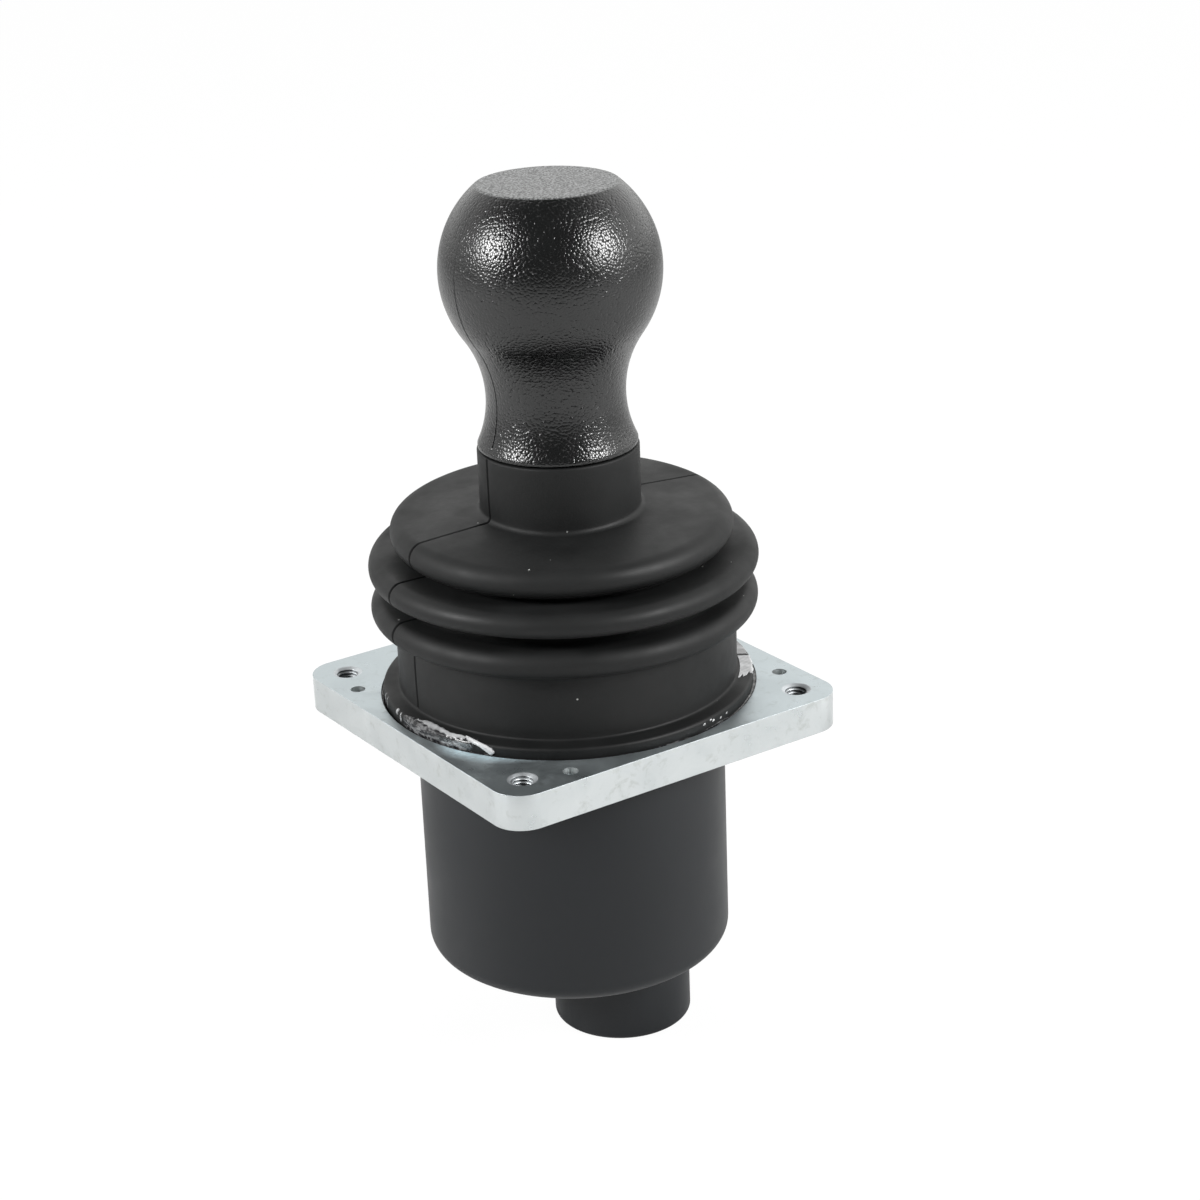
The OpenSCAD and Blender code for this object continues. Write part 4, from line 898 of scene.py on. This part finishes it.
# Angles in degrees round the rim; u is the share of the way along it, from the plate to the skirt.
# Edges are angles with their u; spans are a start, an end and a soft width
leftLook = {
    "ragged": ((0.02, 47, 0), (0.015, 131, 1)),
    "top": ((175, 177, 181, 184, 185, 189, 195, 203), (0.42, 0.60, 0.71, 0.76, 0.88, 0.93, 0.76, 0.74)),
    "under": ((181, 185, 190, 195, 200, 203), (0.66, 0.62, 0.54, 0.53, 0.45, 0.5)),
    "lipSpan": (181.5, 203.2, 1.0), "fingerSpan": (203, 213.4, 0.5),
    "finger": ((202.5, 205, 208.8, 211, 212.4), (0.70, 0.57, 0.43, 0.30, 0.20)),
    "fingerHalf": ((203, 204, 208.8, 211, 212.6, 213.4), (0.03, 0.10, 0.09, 0.15, 0.17, 0.04)),
    "dabs": ((0.42, 0.16, 171, 1.1), (0.3, 0.24, 173.8, 0.45)),
    "wet": ((0.25, 0.3, 157.5, 0.6), (0.25, 0.3, 160.5, 0.5)),
}


def leftSmear(degrees, u):
    # wiped film with a thick upper lip, the finger of sealant that ends it, and dabs before it
    ragged = ripple(np.radians(degrees), leftLook["ragged"])
    top = ragged + np.interp(degrees, *leftLook["top"])
    under = ragged + np.interp(degrees, *leftLook["under"])
    film = np.minimum(between(u, -0.3, top, 0.06), between(degrees, 175.5, 206 + 2 * u, 0.7))
    strokes = np.sin(1.9 * degrees + 9 * u + 3 * np.sin(0.7 * degrees)) * np.sin(17 * u + 0.4 * degrees)
    wiped = 0.5 + 0.5 * strokes
    lip = dome(u, (top + under) / 2, (top - under) / 2) * (between(degrees, *leftLook["lipSpan"]) > 0)
    centre, half = (np.interp(degrees, *leftLook[key]) for key in ("finger", "fingerHalf"))
    finger = dome(u, centre, half) * (between(degrees, *leftLook["fingerSpan"]) > 0)
    dab, wet = dabs(degrees, u, leftLook["dabs"]), dabs(degrees, u, leftLook["wet"])
    thickness = [film * (0.05 + 0.05 * wiped) + 0.17 * lip, 0.55 * finger - 0.04, 0.22 * dab - 0.04,
                 0.12 * wet - 0.03]
    milk = [0.02 + 0.22 * wiped ** 2, 0.85 * lip, 1.0 * (finger > 0), 0.7 * dab, 0.3 * wet]
    return np.maximum.reduce(thickness), np.maximum.reduce(milk)


# Crumbs are an angle, their u and a thickness, with a half width in degrees and one in u, and a lean
rightLook = {
    "ragged": ((0.03, 71, 0.3), (0.02, 190, 1)), "thickness": 0.13, "crumbHalf": (0.5, 0.045),
    "crumbs": ((280.5, 0.30, 0.26), (283.4, 0.36, 0.20), (284.6, 0.28, 0.30), (288.2, 0.22, 0.24),
               (291.5, 0.26, 0.2)), "crumbLean": 0.03, "crumbSunk": 0.07,
}


def rightSmear(degrees, u):
    # a torn flat patch across the flange's top, and crumbs along the rim
    ragged = ripple(np.radians(degrees), rightLook["ragged"])
    torn = 325 - 11 * u + 0.8 * np.sin(23 * u) + 0.5 * np.sin(51 * u + 1)
    patch = np.minimum(between(u, 0.41 + ragged, 1.3, 0.03), between(degrees, torn, 333.8 - 1.2 * u, 0.3))
    thickness = rightLook["thickness"] * patch
    across, up = rightLook["crumbHalf"]
    for at, height, size in rightLook["crumbs"]:
        lean = rightLook["crumbLean"] * (degrees - at)
        crumb = np.exp(-((degrees - at) / across) ** 2 - ((u - height - lean) / up) ** 2)
        thickness = np.maximum(thickness, size * crumb - rightLook["crumbSunk"])
    folds = 0.5 + 0.5 * np.sin(2.6 * degrees + 30 * u)
    return thickness, 0.72 + 0.08 * folds


hazeLook = {"ragged": ((0.05, 71, 0.3), (0.03, 190, 1)), "thickness": 0.05, "milk": 0.35,
            "across": (1.2, 0.1), "from": 0.42, "along": (334, 350, 1.0)}


def haze(degrees, u):
    # thin film dried on the flange's top behind the patch
    ragged = ripple(np.radians(degrees), hazeLook["ragged"])
    across = between(u, hazeLook["from"] + ragged, *hazeLook["across"])
    film = np.minimum(across, between(degrees, *hazeLook["along"]))
    return hazeLook["thickness"] * film, hazeLook["milk"] + ragged + 0 * u


def smear(name, fromDegrees, toDegrees, shape):
    # the rim's outline pushed out by the thickness and closed behind, inside the rubber;
    # x = r cos a, y = r sin a with r and z moved along the way out
    path, out = rimPath()
    count = int((toDegrees - fromDegrees) * sealant["perDegree"])
    degrees = np.linspace(fromDegrees, toDegrees, count)[None, :]
    thickness, milk = shape(degrees, np.linspace(0, 1, len(path))[:, None])
    front = thickness - sealant["film"]
    offset = np.concatenate([front, np.full_like(front, sealant["into"])])
    path, out = np.concatenate([path, path[::-1]]), np.concatenate([out, out[::-1]])
    r, z = path[:, :1] + out[:, :1] * offset, path[:, 1:] + out[:, 1:] * offset
    faces = gridFaces(len(r), count, True)
    values = {"milk": np.concatenate([milk, milk[::-1]])}
    return meshObject(name, turned(r, np.radians(degrees), z), faces, 60, values, capEnds=True)


bead = joinPieces("sealantBead", [beadRing(), smear("haze", 333, 351, haze)])
place(bead, "base", "sealant", "sealant_bead")
smears = joinPieces("sealantSmears", [
    smear("left", 150, 217, leftSmear), smear("right", 277, 350, rightSmear)])
place(smears, "base", "sealant")
print("plate, threads and sealant made")


place(softened("housing_can", "canBody", 0.4, 3, 40), "base", "black_nylon", "housing_can")
place(softened("connector_shell", "connectorBody", 0.35, 3, 40), "base", "black_nylon", "connector_shell")
place(softened("connector_insert", "contactCarrier", 0.15, 2, 40), "base", "black_insulator",
      "connector_insert")
print("housing and connector made")


# Lengths in metres, power in watts, lamps as ways in the camera's frame; shown is what the camera sees
# of the room, which goes from one strength to the other as the level along away and up rises
room = {
    "paper": "#d6d6d6", "paperRoughness": 0.9, "paperHalf": 15, "paperWhite": 1.02, "paperShown": 0.94,
    "aim": (0, 0, 0.06), "lampAway": 1.2, "lampSize": 0.36, "lampPower": 18,
    "lamps": {"leftSoftbox": (-0.824, 0.301, 0.479), "rightSoftbox": (0.80, 0.28, 0.53)},
    "away": 0.8, "up": 0.6, "level": (0.0, 0.6), "strength": (1.4, 0.11), "side": (0.75, 1.45),
    "colour": "#fbfbfa", "shown": 1.05,
}


def makeFloor():
    # pale ground: near white to the camera, keeping part of the shadow, and plain paper to the light
    half, bottom = room["paperHalf"] / mm, cadBox[0].z / mm
    points = [(x * half, y * half, bottom) for x, y in ((-1, -1), (1, -1), (1, 1), (-1, 1))]
    floor = meshObject("floor", points, np.array([[0, 1, 2, 3]]))
    material, tree, shader = startMaterial("floor_paper")[:3]
    setInputs(tree, shader, {"Base Color": room["paper"], "Roughness": room["paperRoughness"]})
    white = addNode(tree, "Emission", {"Strength": room["paperWhite"]})
    seen = addNode(tree, "LightPath").outputs["Is Camera Ray"]
    share = addNode(tree, "Math", {0: seen, 1: room["paperShown"]}, operation="MULTIPLY")
    mixed = addNode(tree, "MixShader", {"Fac": share, 1: shader, 2: white})
    setInputs(tree, tree.nodes["Material Output"], {"Surface": mixed})
    floor.data.materials.append(material)


def addSoftbox(name, direction):
    # a square lamp that faces the ball
    forward = Vector(direction).normalized()
    upward = backward.cross(rightward)
    aim = Vector(room["aim"])
    spot = aim + (rightward * forward.x + upward * forward.y + backward * forward.z) * room["lampAway"]
    lamp = bpy.data.lights.new(name, "AREA")
    lamp.size = room["lampSize"]
    lamp.energy = room["lampPower"]
    holder = bpy.data.objects.new(name, lamp)
    bpy.context.scene.collection.objects.link(holder)
    facing = (spot - aim).to_track_quat("Z", "Y").to_matrix().to_4x4()
    holder.matrix_world = Matrix.Translation(spot) @ facing


def makeWorld():
    # a pale room: white low down and behind, a darker ceiling in front and above, brighter to the right;
    # the camera itself sees plain white
    world = bpy.data.worlds.new("room")
    bpy.context.scene.world = world
    world.use_nodes = True
    tree = world.node_tree
    along, a = addNode(tree, "TexCoord").outputs["Generated"], radians(view["azimuth"])
    ceiling = (sin(a) * room["away"], -cos(a) * room["away"], room["up"])
    level, side = (addNode(tree, "VectorMath", {0: along, 1: way}, operation="DOT_PRODUCT")
                   for way in (ceiling, tuple(rightward)))
    levelFrom, levelTo = room["level"]
    bright, dark = room["strength"]
    overhead = addNode(tree, "MapRange", {
        "Value": level, "From Min": levelFrom, "From Max": levelTo, "To Min": bright, "To Max": dark},
        interpolation_type="SMOOTHSTEP")
    left, right = room["side"]
    sideways = addNode(tree, "MapRange", {
        "Value": side, "From Min": -1.0, "From Max": 1.0, "To Min": left, "To Max": right})
    strength = addNode(tree, "Math", {0: overhead, 1: sideways}, operation="MULTIPLY")
    seen = addNode(tree, "LightPath").outputs["Is Camera Ray"]
    shown = addNode(tree, "Mix", {"Factor": seen, "A": strength, "B": room["shown"]}, data_type="FLOAT")
    setInputs(tree, tree.nodes["Background"], {"Color": room["colour"], "Strength": shown})


makeFloor()
for lampName, way in room["lamps"].items():
    addSoftbox(lampName, way)
makeWorld()
bpy.context.scene.view_settings.view_transform = "Standard"
print("floor and light set")
